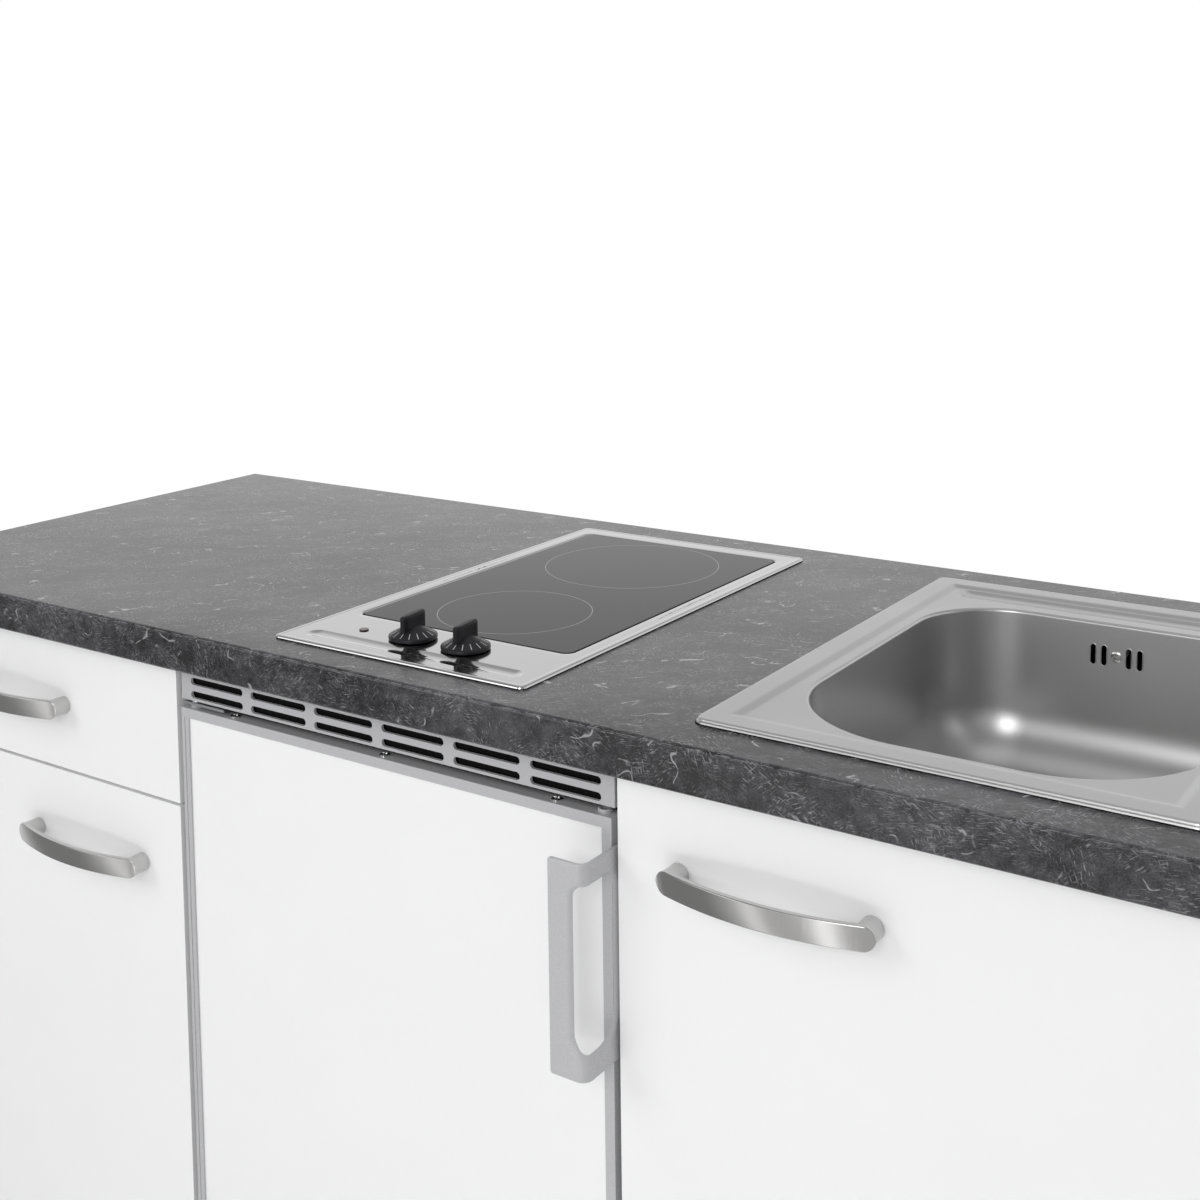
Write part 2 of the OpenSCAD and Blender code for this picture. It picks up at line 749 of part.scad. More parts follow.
// Plates with pins above and below the door's left edge
module fridge_hinges() color("silver") place() {
  plate_end = case_x0 + hinge_plate_len;
  block([case_x0, front_setback + 2, case_top_z],
        [plate_end, case_y + hinge_plate_back, case_top_z + hinge_plate_t]);
  rod_z([pin_x[0], pin_y, door_top_z - pin_len + bush_h], pin_r,
        case_top_z - door_top_z + pin_len - bush_h + eps);
  rod_z([pin_x[0], pin_y, case_top_z + hinge_plate_t], pin_r + 1.5, 1);
  low_z = door_z - 6;
  block([case_x0, front_setback + 2, low_z], [plate_end, case_y, low_z + 3]);
  block([case_x0, case_y - 3, low_z - 38], [plate_end, case_y, low_z + 1]);
  rod_z([pin_x[0], pin_y, low_z], pin_r, 6 + pin_len - 2);
  rod_z([pin_x[0], pin_y, low_z + 3], pin_r + 3, 3 - slip);
}

// Welded steel can with a base foot, standing in the machine niche
compressor_r = 70;
compressor_h = 140;
compressor_x = hob_x - 60;
compressor_y = case_back_y - 85;
module fridge_compressor() color("black") place() translate([compressor_x, compressor_y, machine_z]) {
  translate([-90, -45, 0]) cube([180, 90, 6]);
  translate([compressor_r - 10, -22, 40]) cube([32, 44, 50]);
  translate([compressor_r + 6, 20, 65]) rotate([-90, 0, 0]) cylinder(r = 6, h = 14);
  translate([0, 0, 6]) rotate_extrude($fn = 64) {
    square([compressor_r, compressor_h - 40]);
    translate([0, compressor_h - 40]) intersection() {
      circle(compressor_r);
      square([compressor_r, 40]);
    }
  }
}

// Serpentine tube on two flat straps, held off the back of the case on four stays
tube_r = 2.5;
coil_y = case_back_y + 14;
coil_rows = 12;
coil_pitch = 40;
coil_inset = 50;
coil_x0 = case_x0 + coil_inset;
coil_x1 = case_x1 - coil_inset;
coil_rise = 45;
coil_z = machine_z + machine_h + coil_rise;
coil_top_z = coil_z + (coil_rows - 1) * coil_pitch;
strap_w = 12;
strap_t = 2;
strap_inset = 30;
stay_h = 8;
feed_rise = 60;

module coil_bend(x, z, turn) translate([x, coil_y, z]) rotate([90, turn, 0])
  rotate_extrude(angle = 180, $fn = 16) translate([coil_pitch / 2, 0]) circle(tube_r, $fn = 16);

module tube_x(x0, x1, y, z) translate([x0, y, z]) rotate([0, 90, 0])
  cylinder(r = tube_r, h = x1 - x0, $fn = 16);

module fridge_condenser() color("black") place() {
  for (i = [0 : coil_rows - 1]) tube_x(coil_x0, coil_x1, coil_y, coil_z + i * coil_pitch);
  for (i = [0 : coil_rows - 2])
    coil_bend(i % 2 == 0 ? coil_x1 : coil_x0, coil_z + (i + 0.5) * coil_pitch,
              i % 2 == 0 ? 90 : -90);
  for (x = [coil_x0 + strap_inset, coil_x1 - strap_inset]) {
    block([x - strap_w / 2, coil_y - strap_t / 2, coil_z - strap_w],
          [x + strap_w / 2, coil_y + strap_t / 2, coil_top_z + strap_w]);
    for (z = [coil_z + coil_pitch / 2, coil_top_z - coil_pitch / 2])
      block([x - strap_w / 2, case_back_y, z - stay_h / 2],
            [x + strap_w / 2, coil_y, z + stay_h / 2]);
  }
  low_z = machine_z + feed_rise;
  rod_z([coil_x0, coil_y, low_z], tube_r, coil_z - low_z, $fn = 16);
  rod_y([coil_x0, compressor_y, low_z], tube_r, coil_y - compressor_y, $fn = 16);
  for (y = [compressor_y, coil_y]) translate([coil_x0, y, low_z]) sphere(tube_r, $fn = 16);
  translate([coil_x0, coil_y, coil_z]) sphere(tube_r, $fn = 16);
  tube_x(coil_x0, compressor_x - compressor_r, compressor_y, low_z);
}

// Thermostat housing under the cavity's roof, with the spindle of its knob
thermo_size = [100, 100, 42];
thermo_x = cavity_x1 - liner_t - 10 - thermo_size.x;
thermo_y = cavity_back_y - 200;
thermo_z = cavity_top_z - liner_t - thermo_size.z;
thermo_knob = [thermo_x + 34, thermo_z + 20];
thermo_knob_r = 16;

module thermostat_box() color("white") place() {
  block([thermo_x, thermo_y, thermo_z],
        [thermo_x + thermo_size.x, thermo_y + thermo_size.y, thermo_z + thermo_size.z]);
  rod_y([thermo_knob.x, thermo_y - 10, thermo_knob.y], spindle_r, 10 + eps);
}

module thermostat_knob() color("lightgray") place() difference() {
  union() {
    rod_y([thermo_knob.x, thermo_y - 10, thermo_knob.y], thermo_knob_r, 10 - slip);
    block([thermo_knob.x - 2.5, thermo_y - 16, thermo_knob.y - thermo_knob_r + 2],
          [thermo_knob.x + 2.5, thermo_y - 10, thermo_knob.y + thermo_knob_r - 2]);
  }
  rod_y([thermo_knob.x, thermo_y - 10 - slip, thermo_knob.y], spindle_r + bore_slip, 10 + slip);
}

// ---------- fridge door ----------

module pin_bores() for (x = pin_x) {
  rod_z([x, pin_y, door_top_z - pin_len], pin_r + bore_slip, pin_len + bush_h + eps);
  rod_z([x, pin_y, door_z - eps], pin_r + bore_slip, pin_len + eps);
}

module fridge_door() color("white") place() difference() {
  block([door_x0 + profile_t, core_y, door_z + profile_t],
        [door_x1 - profile_t, door_back_y, door_top_z - profile_t]);
  pin_bores();
}

module fridge_door_panel() color("white") place()
  block([door_x0 + profile_t, front_setback + profile_t, door_z + profile_t],
        [door_x1 - profile_t, core_y, door_top_z - profile_t]);

// Grey frame that holds the white panel, with a bush for the hinge pin at each top corner
module fridge_door_profiles() color("darkgray") place() difference() {
  union() {
    difference() {
      block([door_x0, front_setback, door_z],
            [door_x1, front_setback + profile_depth, door_top_z]);
      block([door_x0 + profile_t, front_setback + profile_t, door_z + profile_t],
            [door_x1 - profile_t, front_setback + profile_depth + eps, door_top_z - profile_t]);
      block([door_x0 + profile_w, front_setback - eps, door_z + profile_w],
            [door_x1 - profile_w, front_setback + profile_t + eps, door_top_z - profile_w]);
      block([door_x0 + 3.8, front_setback - eps, door_z + profile_w],
            [door_x0 + 4.8, front_setback + 1, door_top_z - profile_w]);
    }
    for (x = pin_x) rod_z([x, pin_y, door_top_z - 1], bush_r, bush_h + 1);
  }
  pin_bores();
}

// Inner door skin with three balconies
balcony_x0 = cavity_x0 + 19;
balcony_x1 = cavity_x1 - 19;
balcony_y = door_back_y + 55;
balcony_t = 2.5;
balcony_z = [step_z - 100, fridge_shelf_z[1] + 10, fridge_shelf_z[2] + 10];
balcony_h = 60;
skin_t = 3;
gasket_w = 12;
gasket_inset = 6;
gasket_gap = 0.6;

module balcony(z) {
  block([balcony_x0, door_back_y + skin_t - eps, z], [balcony_x1, balcony_y, z + balcony_t]);
  block([balcony_x0, balcony_y - balcony_t, z], [balcony_x1, balcony_y, z + balcony_h]);
  for (x = [balcony_x0, balcony_x1 - balcony_t])
    block([x, door_back_y + skin_t - eps, z], [x + balcony_t, balcony_y, z + balcony_h]);
}

module fridge_door_liner() color("whitesmoke") place() {
  inset = gasket_inset + gasket_w + 1;
  block([door_x0 + inset, door_back_y, door_z + inset],
        [door_x1 - inset, door_back_y + skin_t, door_top_z - inset]);
  for (z = balcony_z) balcony(z);
}

module fridge_door_gasket() color("lightgray") place() difference() {
  block([door_x0 + gasket_inset, door_back_y, door_z + gasket_inset],
        [door_x1 - gasket_inset, case_y - gasket_gap, door_top_z - gasket_inset]);
  inset = gasket_inset + gasket_w;
  block([door_x0 + inset, door_back_y - eps, door_z + inset],
        [door_x1 - inset, case_y + eps, door_top_z - inset]);
}

// Bent grip: a front plate, a round bend and a side leg on the door's edge, with one
// long round-ended opening that runs over the bend
grip_hole_h = 135;
grip_hole_r = 13;
grip_leg_y = front_setback + profile_depth;
grip_hole_back = front_setback;

module grip_section() {
  x1 = door_x1 + grip_side_t;
  y0 = front_setback - grip_reach;
  r = grip_bend_r;
  difference() {
    union() {
      translate([x1 - grip_w, y0]) square([grip_w - r, grip_t]);
      translate([x1 - grip_side_t, y0 + r]) square([grip_side_t, grip_leg_y - y0 - r]);
      translate([x1 - r, y0 + r]) intersection() {
        circle(r);
        translate([0, -r]) square(r);
      }
    }
    translate([x1 - r, y0 + r]) circle(r - (grip_t + grip_side_t) / 2);
  }
}

module fridge_door_grip() color("silver") place() difference() {
  translate([0, 0, grip_top_z - grip_h]) linear_extrude(grip_h) grip_section();
  x1 = door_x1 + grip_side_t;
  y0 = front_setback - grip_reach;
  hole_z = grip_top_z - 19 - grip_hole_h;
  translate([x1 - grip_bend_r - 3, y0 - eps, hole_z]) intersection() {
    translate([0, grip_reach, 0]) rotate([90, 0, 0]) linear_extrude(grip_reach + 1)
      round_rect([60, grip_hole_h], 8);
    rotate([90, 0, 90]) translate([-30, 0]) linear_extrude(40)
      round_rect([30 + grip_hole_back - y0, grip_hole_h], grip_hole_r);
  }
}

module fridge_door_screws() color("silver") place()
  for (x = [hob_x - 181, hob_x + 4, hob_x + 188])
    rod_z([x, pin_y - 2, door_top_z], 4.5, 2);

// ---------- hob ----------

hob_x0 = hob_x - hob_w / 2;
glass_x0 = hob_x - glass_w / 2;
glass_fit = 0.5;

module hob_frame() color("silver") place() difference() {
  union() {
    round_plate([hob_x0, hob_front, hob_top_z - hob_sheet], [hob_w, hob_d], hob_r, hob_sheet);
    round_ring([hob_x0, hob_front, unit_h], [hob_w, hob_d], hob_r, 2, hob_rim_h);
    block([glass_x0 - glass_fit - hob_sheet, glass_y - glass_fit - hob_sheet,
           glass_z - hob_sheet],
          [glass_x0 + glass_w + glass_fit + hob_sheet,
           glass_y + glass_d + glass_fit + hob_sheet, hob_top_z]);
  }
  block([glass_x0 - glass_fit, glass_y - glass_fit, glass_z],
        [glass_x0 + glass_w + glass_fit, glass_y + glass_d + glass_fit, hob_top_z + eps]);
  block([glass_x0 + glass_ledge, glass_y + glass_ledge, glass_z - 2 * hob_sheet],
        [glass_x0 + glass_w - glass_ledge, glass_y + glass_d - glass_ledge, hob_top_z]);
  for (x = knob_x) rod_z([x, knob_y, glass_z], spindle_r + 2, 2 * hob_rim_h + glass_t);
  rod_z([lamp_at.x, lamp_at.y, glass_z], lamp_r + bore_slip, 2 * hob_rim_h + glass_t);
  round_plate([hob_x - bead_len / 2, bead_y - 2.5, hob_top_z - 0.6], [bead_len, 5], 2.4, 1);
}

module hob_glass() color("dimgray") place()
  round_plate([glass_x0, glass_y, glass_z], [glass_w, glass_d], 3, glass_t);

terminal_h = 18;

// Radiant heaters pressed up against the glass, each on a post from the tray
module hob_heaters() color("dimgray") place() for (i = [0, 1]) {
  r = (i == 0 ? front_zone_dia : rear_zone_dia) / 2;
  rod_z([hob_x, zone_y[i], glass_z - heater_h], r, heater_h);
  rod_z([hob_x, zone_y[i], tray_z + hob_sheet], 8, glass_z - heater_h - tray_z);
}

module hob_tray() color("lightgray") place() {
  size = [hob_w - 2 * tray_inset, hob_d - 2 * tray_inset - 4];
  at = [hob_x0 + tray_inset, hob_front + tray_inset + 2];
  round_plate([at.x, at.y, tray_z], size, 4, hob_sheet);
  round_ring([at.x, at.y, tray_z], size, 4, hob_sheet, hob_top_z - hob_sheet - tray_z);
  clamp_w = tray_inset - hob_cut_inset;
  for (x = [at.x - clamp_w, at.x + size.x], y = [at.y + 90, at.y + size.y - 120])
    block([x, y, tray_z + 15], [x + clamp_w, y + 30, unit_h - 8]);
  terminal = [hob_x + 40, at.y + size.y - 80, tray_z - terminal_h];
  block(terminal, [terminal.x + 60, terminal.y + 40, tray_z]);
  rod_y([terminal.x + 30, terminal.y + 40, tray_z - terminal_h / 2], 7, 12);
}

module hob_lamp() color("firebrick") place() {
  rod_z([lamp_at.x, lamp_at.y, glass_z], lamp_r, hob_top_z - glass_z + eps);
  rod_z([lamp_at.x, lamp_at.y, hob_top_z], lamp_r + 1.5, 0.8);
}

// Energy regulators hung under the frame, their spindles standing up through it
module hob_switches() color("white") place() for (x = knob_x) {
  top = hob_top_z - hob_sheet;
  block([x - 17, knob_y - 17, top - 28], [x + 17, knob_y + 17, top]);
  rod_z([x, knob_y, top - eps], spindle_r, hob_sheet + 10);
}

knob_rim_h = 3.5;
knob_cone_h = 12.5;
knob_top_r = 5;
fin_t = 8.5;
fin_len = 31;

// Conical skirt with an upright fin across its middle
module knob(x) translate([x, knob_y, hob_top_z + knob_lift]) difference() {
  union() {
    cylinder(d = knob_dia, h = knob_rim_h);
    translate([0, 0, knob_rim_h])
      cylinder(r1 = knob_dia / 2, r2 = knob_top_r, h = knob_cone_h - knob_rim_h);
    translate([-fin_t / 2, -fin_len / 2, 1]) linear_extrude(knob_h - 1)
      round_rect([fin_t, fin_len], fin_t / 2 - 0.01);
  }
  translate([0, 0, -eps]) cylinder(r = spindle_r + bore_slip, h = 11 + eps);
}

module front_zone_knob() color("black") place() knob(knob_x[0]);
module rear_zone_knob() color("black") place() knob(knob_x[1]);

// ---------- sink ----------

// The four corner discs of the bowl's outline, at one height
module bowl_slice(inset, z) {
  f = bowl_front_r;
  b = bowl_back_r;
  half = bowl_w / 2;
  for (side = [-1, 1]) {
    translate([bowl_x + side * (half - f), bowl_y + f, z])
      cylinder(r = f - inset, h = 0.1, $fn = 48);
    translate([bowl_x + side * (half - b), bowl_y + bowl_d - b, z])
      cylinder(r = b - inset, h = 0.1, $fn = 48);
  }
}

// Bowl as a closed form: tapered walls that turn into the floor with a large radius
module bowl_form(wall, top_z) hull() {
  bowl_slice(wall, top_z - 0.1);
  for (a = [0 : 15 : 90])
    bowl_slice(bowl_taper + wall + (bowl_fillet - wall) * (1 - cos(a)),
               bowl_floor_z + wall - sheet_t + (bowl_fillet - wall) * (1 - sin(a)));
}

module sink() color("silver") place() difference() {
  union() {
    inner = [sink_w - 2 * sink_ledge, sink_d - 2 * sink_ledge];
    at = [sink_x + sink_ledge, sink_front + sink_ledge];
    round_ring([sink_x, sink_front, unit_h], [sink_w, sink_d], sink_r, sheet_t, sink_rim_h);
    round_ring([sink_x, sink_front, sink_top_z - sheet_t], [sink_w, sink_d], sink_r,
               sink_ledge + sheet_t, sheet_t);
    round_plate([at.x, at.y, deck_z - sheet_t], inner, sink_r, sheet_t);
    round_ring([at.x, at.y, deck_z - sheet_t], inner, sink_r, sheet_t, deck_drop + sheet_t);
    bowl_form(0, deck_z);
  }
  bowl_form(sheet_t, deck_z + 2);
  rod_z([drain_at.x, drain_at.y, bowl_floor_z - 5], drain_hole_r, 10);
  rod_z([tap_at.x, tap_at.y, deck_z - 5], tap_hole_dia / 2, 10);
  for (dx = overflow_slots) translate([overflow_x + dx - overflow_slot.x / 2,
                                       bowl_y + bowl_d + 6, overflow_z - overflow_slot.y / 2])
    rotate([90, 0, 0]) linear_extrude(20)
      round_rect(overflow_slot, overflow_slot.x / 2 - 0.01);
  rod_y([overflow_x, bowl_y + bowl_d - 20, overflow_z], 2.2, 30);
}

bowl_back_y = bowl_y + bowl_d;
drain_stub_r = 28;
duct_y = bowl_back_y + overflow_gap + overflow_box.y - overflow_pipe_r - 1;

// Duct behind the overflow slots and its pipe down to the drain. inset makes the
// same form smaller for the hollow inside.
duct_wall = 2;
overflow_stub = 20;
duct_pipe_z = bowl_floor_z - 26;
module duct_form(inset) {
  half = [overflow_box.x / 2 - inset, 0, overflow_box.z / 2 - inset];
  front_y = inset > 0 ? bowl_back_y - 1 : bowl_back_y + 0.2;
  back = bowl_back_y + overflow_gap + overflow_box.y - inset;
  block([overflow_x - half.x, front_y, overflow_z - half.z],
        [overflow_x + half.x, back, overflow_z + half.z]);
  pipe_r = overflow_pipe_r - inset;
  rod_z([drain_at.x, duct_y, duct_pipe_z], pipe_r,
        overflow_z - overflow_box.z / 2 + inset - duct_pipe_z);
  translate([drain_at.x, duct_y, duct_pipe_z]) sphere(pipe_r);
  start_y = drain_at.y + drain_stub_r + overflow_stub - inset / 10;
  rod_y([drain_at.x, start_y, duct_pipe_z], pipe_r, duct_y - start_y);
}

module overflow_duct() color("dimgray") place() {
  difference() {
    duct_form(0);
    duct_form(duct_wall);
  }
  difference() {
    rod_y([overflow_x, bowl_back_y + 6, overflow_z], 6, overflow_box.y - 6);
    rod_y([overflow_x, bowl_back_y, overflow_z], 2 + bore_slip, 14);
  }
}

overflow_head_y = bowl_back_y - sheet_t - bowl_taper * 28 / 100 - 1.8;
module overflow_screw() color("silver") place() {
  rod_y([overflow_x, overflow_head_y, overflow_z], 2, bowl_back_y + 13 - overflow_head_y);
  rod_y([overflow_x, overflow_head_y, overflow_z], 5, 1.3);
}

// Flanged waste with its tailpiece, the bottle trap and the outlet pipe to the wall
drain_rim_t = 1.5;
drain_nut_h = 3;
drain_cup_h = 50;
drain_bore_r = 24;
tail_len = 85;
tail_r = 16;
pipe_wall = 3;
spigot_len = 60;
module drain_section() difference() {
  union() {
    square([drain_rim_r, drain_rim_t]);
    translate([0, -sheet_t - drain_nut_h]) square([drain_hole_r - 0.2, drain_nut_h + sheet_t]);
    translate([0, -drain_cup_h]) square([drain_stub_r, drain_cup_h]);
    translate([0, -tail_len]) square([tail_r, tail_len - drain_cup_h + 1]);
  }
  translate([0, -drain_cup_h + 2 * pipe_wall]) square([drain_bore_r, drain_cup_h]);
  translate([0, -tail_len - eps]) square([tail_r - pipe_wall, tail_len]);
}

module drain_and_trap() color("whitesmoke") place() {
  stub_y = drain_at.y + drain_stub_r;
  translate([drain_at.x, drain_at.y, bowl_floor_z]) rotate_extrude($fn = 64) drain_section();
  difference() {
    rod_y([drain_at.x, stub_y - 1, duct_pipe_z], overflow_pipe_r, overflow_stub + 1);
    rod_y([drain_at.x, stub_y - pipe_wall - 1, duct_pipe_z], overflow_pipe_r - duct_wall,
          overflow_stub + pipe_wall + 2);
  }
  difference() {
    union() {
      rod_z([drain_at.x, drain_at.y, trap_z], trap_r, trap_h);
      rod_y([drain_at.x, drain_at.y, waste_z], waste_dia / 2, waste_end_y - drain_at.y);
      rod_y([drain_at.x, drain_at.y, waste_z], waste_dia / 2 + 2,
            waste_end_y - spigot_len - drain_at.y);
    }
    rod_z([drain_at.x, drain_at.y, trap_z + pipe_wall], trap_r - pipe_wall,
          trap_h - 2 * pipe_wall);
    rod_z([drain_at.x, drain_at.y, trap_z + trap_h - 2 * pipe_wall], tail_r - pipe_wall,
          2 * pipe_wall + eps);
    rod_y([drain_at.x, drain_at.y + trap_r - 2 * pipe_wall, waste_z], waste_dia / 2 - 2,
          waste_end_y);
  }
}

// Lift-out strainer cup with a grip knob; its brim rests on the drain's rim
cup_outer_r = 21;
cup_wall = 1.5;
cup_h = 12;
brim_r = 27.5;
brim_t = 1.2;
stem_r = 3.5;
module strainer_section() {
  brim_z = drain_rim_t + slip;
  translate([0, -cup_h]) square([cup_outer_r, cup_wall]);
  translate([cup_outer_r - cup_wall, -cup_h]) square([cup_wall, cup_h + brim_z + 0.2]);
  translate([cup_outer_r - cup_wall, brim_z]) square([brim_r - cup_outer_r + cup_wall, brim_t]);
  translate([0, -cup_h]) square([stem_r, cup_h + 6]);
  translate([0, 4]) square([2 * stem_r - 1, 3]);
}

module drain_strainer() color("silver") place() translate([drain_at.x, drain_at.y, bowl_floor_z])
  difference() {
    rotate_extrude() strainer_section();
    for (a = [0 : 45 : 315])
      rotate(a) translate([12, 0, -cup_h - eps]) cylinder(r = 2.5, h = cup_wall + 2 * eps);
  }

worktop();
worktop_end_bands();
worktop_brackets();
left_outer_side();
left_inner_side();
right_inner_side();
right_outer_side();
cabinet_bottoms();
left_back();
right_back();
left_top_rails();
right_top_rails();
cabinet_shelf();
shelf_pins();
plinth_boards();
cabinet_feet();
drawer_runners();
hinge_plates();
drawer_front();
drawer_handle();
drawer_sides();
drawer_back();
drawer_bottom();
drawer_slides();
left_door();
left_door_handle();
left_hinge_cups();
right_door();
right_door_handle();
right_hinge_cups();
fridge_case();
fridge_liner();
fridge_shelves();
fridge_grille();
fridge_feet();
fridge_hinges();
fridge_compressor();
fridge_condenser();
thermostat_box();
thermostat_knob();
fridge_door();
fridge_door_panel();
fridge_door_profiles();
fridge_door_liner();
fridge_door_gasket();
fridge_door_grip();
fridge_door_screws();
hob_frame();
hob_glass();
hob_heaters();
hob_tray();
hob_lamp();
hob_switches();
front_zone_knob();
rear_zone_knob();
sink();
overflow_duct();
overflow_screw();
drain_and_trap();
drain_strainer();
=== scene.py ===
"""Looks of a kitchenette unit: worktop, hob, sink, fridge, drawer and doors.

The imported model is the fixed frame. Places are in metres, measured from the worktop's
left end (x), its front edge (y) and the floor (z); new_mesh() puts them into the frame.
"""

import json
import math

import bmesh
import bpy
import numpy as np
from mathutils import Matrix, Vector

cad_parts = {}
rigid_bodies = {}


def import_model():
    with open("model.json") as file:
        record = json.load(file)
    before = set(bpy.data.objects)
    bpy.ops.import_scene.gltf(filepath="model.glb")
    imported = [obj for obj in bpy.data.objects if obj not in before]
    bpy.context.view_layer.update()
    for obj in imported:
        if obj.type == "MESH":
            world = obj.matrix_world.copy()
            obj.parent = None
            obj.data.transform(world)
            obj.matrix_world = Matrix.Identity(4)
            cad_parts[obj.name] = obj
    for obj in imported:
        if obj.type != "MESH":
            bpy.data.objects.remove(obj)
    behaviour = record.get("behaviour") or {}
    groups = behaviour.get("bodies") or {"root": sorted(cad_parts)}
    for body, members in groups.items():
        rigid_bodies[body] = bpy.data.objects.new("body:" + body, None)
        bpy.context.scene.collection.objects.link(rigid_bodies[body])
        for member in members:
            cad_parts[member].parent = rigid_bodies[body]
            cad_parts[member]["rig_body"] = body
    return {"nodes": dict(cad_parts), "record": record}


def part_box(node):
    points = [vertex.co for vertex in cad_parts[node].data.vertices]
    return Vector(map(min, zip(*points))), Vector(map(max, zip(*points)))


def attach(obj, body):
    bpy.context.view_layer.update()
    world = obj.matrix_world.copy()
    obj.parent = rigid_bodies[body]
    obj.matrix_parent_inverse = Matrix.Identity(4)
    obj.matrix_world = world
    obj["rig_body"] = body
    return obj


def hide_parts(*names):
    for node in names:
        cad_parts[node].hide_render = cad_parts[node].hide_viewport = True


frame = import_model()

bl_info = {
    "name": "Kitchenette unit",
    "version": (1, 0, 0),
    "blender": (4, 5, 0),
    "location": "View3D > Sidebar > Kitchenette",
    "description": "Builds the visible pieces and finishes of a kitchenette unit",
    "category": "Object",
}

MM = 0.001
SLOT_OF = {part["node"]: part["material_slot"] for part in frame["record"]["subparts"]}
BODY_OF = {name: node["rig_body"] for name, node in frame["nodes"].items()}
WORKTOP_LOW, WORKTOP_HIGH = (np.array(corner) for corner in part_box("worktop_end_bands"))
CORNER = np.array([WORKTOP_LOW[0], WORKTOP_LOW[1], 0.0])
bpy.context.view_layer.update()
FULL_TURN = 2 * math.pi


def span(node):
    """Lowest and highest corner of a CAD node, measured from the worktop's corner."""
    low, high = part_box(node)
    return np.array(low) - CORNER, np.array(high) - CORNER


# ---- sizes and colours


def length(name, text, default, low=0.0, high=1.0):
    return bpy.props.FloatProperty(
        name=name, description=text, default=default, min=low, max=high, unit="LENGTH"
    )


def colour(name, text, default):
    return bpy.props.FloatVectorProperty(
        name=name, description=text, default=default, subtype="COLOR", size=3, min=0.0, max=1.0
    )


class KitchenetteSizes(bpy.types.PropertyGroup):
    """Sizes of the pieces that are modelled here."""

    edge: length("Board edge", "Rounding of the edges of boards and doors", 0.7 * MM)
    bow_edge: length("Bow edge", "Rounding along the edges of a bow handle's band", 0.9 * MM)
    bow_foot: length("Bow foot", "Radius of a bow handle's round feet", 9 * MM)
    grip_edge: length("Grip edge", "Rounding of the fridge grip's edges", 1.4 * MM)
    bowl_fillet: length("Bowl fillet", "Radius between the bowl's walls and its floor", 56 * MM)
    sink_lip: length("Bowl lip", "Radius of the bend between deck and bowl", 3 * MM)
    sink_channel: length("Channel depth", "Depth of the channel along the back ledge", 1.6 * MM)
    bead_depth: length("Bead depth", "Depth of the bead pressed into the hob's front", 1.6 * MM)
    glass_corner: length("Glass corner", "Corner radius of the hob's glass", 9 * MM)
    tick: length("Tick", "Width of a knob's tick marks", 0.5 * MM)
    wire: length("Wire", "Thickness of the condenser's wires", 1.6 * MM)


class KitchenetteColours(bpy.types.PropertyGroup):
    """Colours of the finishes."""

    slate: colour("Slate", "Ground of the worktop's laminate", (0.040, 0.0395, 0.043))
    # Colour of the laminate's pale strokes, and of the painted highlight along its front arris.
    scratch_and_highlight: colour("Scratch", "Pale strokes in the laminate", (0.30, 0.30, 0.31))
    front: colour("Fronts", "White of doors and drawer front", (0.86, 0.86, 0.865))
    board: colour("Boards", "White of the cabinet boxes", (0.80, 0.80, 0.79))
    grey: colour("Grey", "Grey of the grille, the grip and the door profiles", (0.44, 0.44, 0.45))
    steel: colour("Steel", "Sheet of the hob and the sink", (0.56, 0.56, 0.56))
    bow: colour("Bow handles", "Brushed metal of the bow handles", (0.56, 0.555, 0.55))
    zinc: colour("Zinc", "Zinc-plated hinges and brackets", (0.62, 0.63, 0.64))
    glass: colour("Hob glass", "Ground of the hob's glass", (0.018, 0.018, 0.020))
    knob: colour("Knobs", "Black of the hob's knobs", (0.012, 0.012, 0.014))
    floor: colour("Floor", "Floor under the unit", (0.82, 0.82, 0.82))


def sizes():
    return bpy.context.scene.kitchenette_sizes


def colours():
    return bpy.context.scene.kitchenette_colours


# ---- mesh helpers


def grid_faces(rows, cols, wrap_rows=False, wrap_cols=False):
    """Quads of a grid of points, rows by columns, each way open or closed on itself."""
    row = np.arange(rows if wrap_rows else rows - 1)[:, None]
    col = np.arange(cols if wrap_cols else cols - 1)[None, :]
    next_row, next_col = (row + 1) % rows, (col + 1) % cols
    corners = ((row, col), (row, next_col), (next_row, next_col), (next_row, col))
    return np.stack([r * cols + c for r, c in corners], -1).reshape(-1, 4)


def joined(*parts):
    """Several (points, faces) pairs as one."""
    points, faces, start = [], [], 0
    for part_points, part_faces in parts:
        points.append(part_points.reshape(-1, 3))
        faces.append(part_faces + start)
        start += len(points[-1])
    return np.vstack(points), np.vstack(faces)


def surface(grid, wrap_rows=False, wrap_cols=False):
    """A grid of points as (points, faces)."""
    return grid.reshape(-1, 3), grid_faces(grid.shape[0], grid.shape[1], wrap_rows, wrap_cols)


def grid_of(x, y, z):
    """Points from three arrays of coordinates, spread to one shape."""
    return np.stack(np.broadcast_arrays(x, y, z), -1)


def turned(profile, steps=48, about="z", centre=(0, 0, 0)):
    """Surface of revolution: each (r, h) of the profile goes once round the axis."""
    angle = np.arange(steps) * FULL_TURN / steps
    r, h = np.asarray(profile, float).T[..., None]
    ring = grid_of(r * np.cos(angle), r * np.sin(angle), h)
    if about == "y":
        ring = ring[..., [0, 2, 1]] * [1, 1, -1]
    return surface(ring + np.asarray(centre, float), wrap_cols=True)


def smooth(mesh, angle=35):
    """Smooth shading, with edges sharper than angle left sharp."""
    mesh.polygons.foreach_set("use_smooth", np.ones(len(mesh.polygons), bool))
    mesh.set_sharp_from_angle(angle=math.radians(angle))


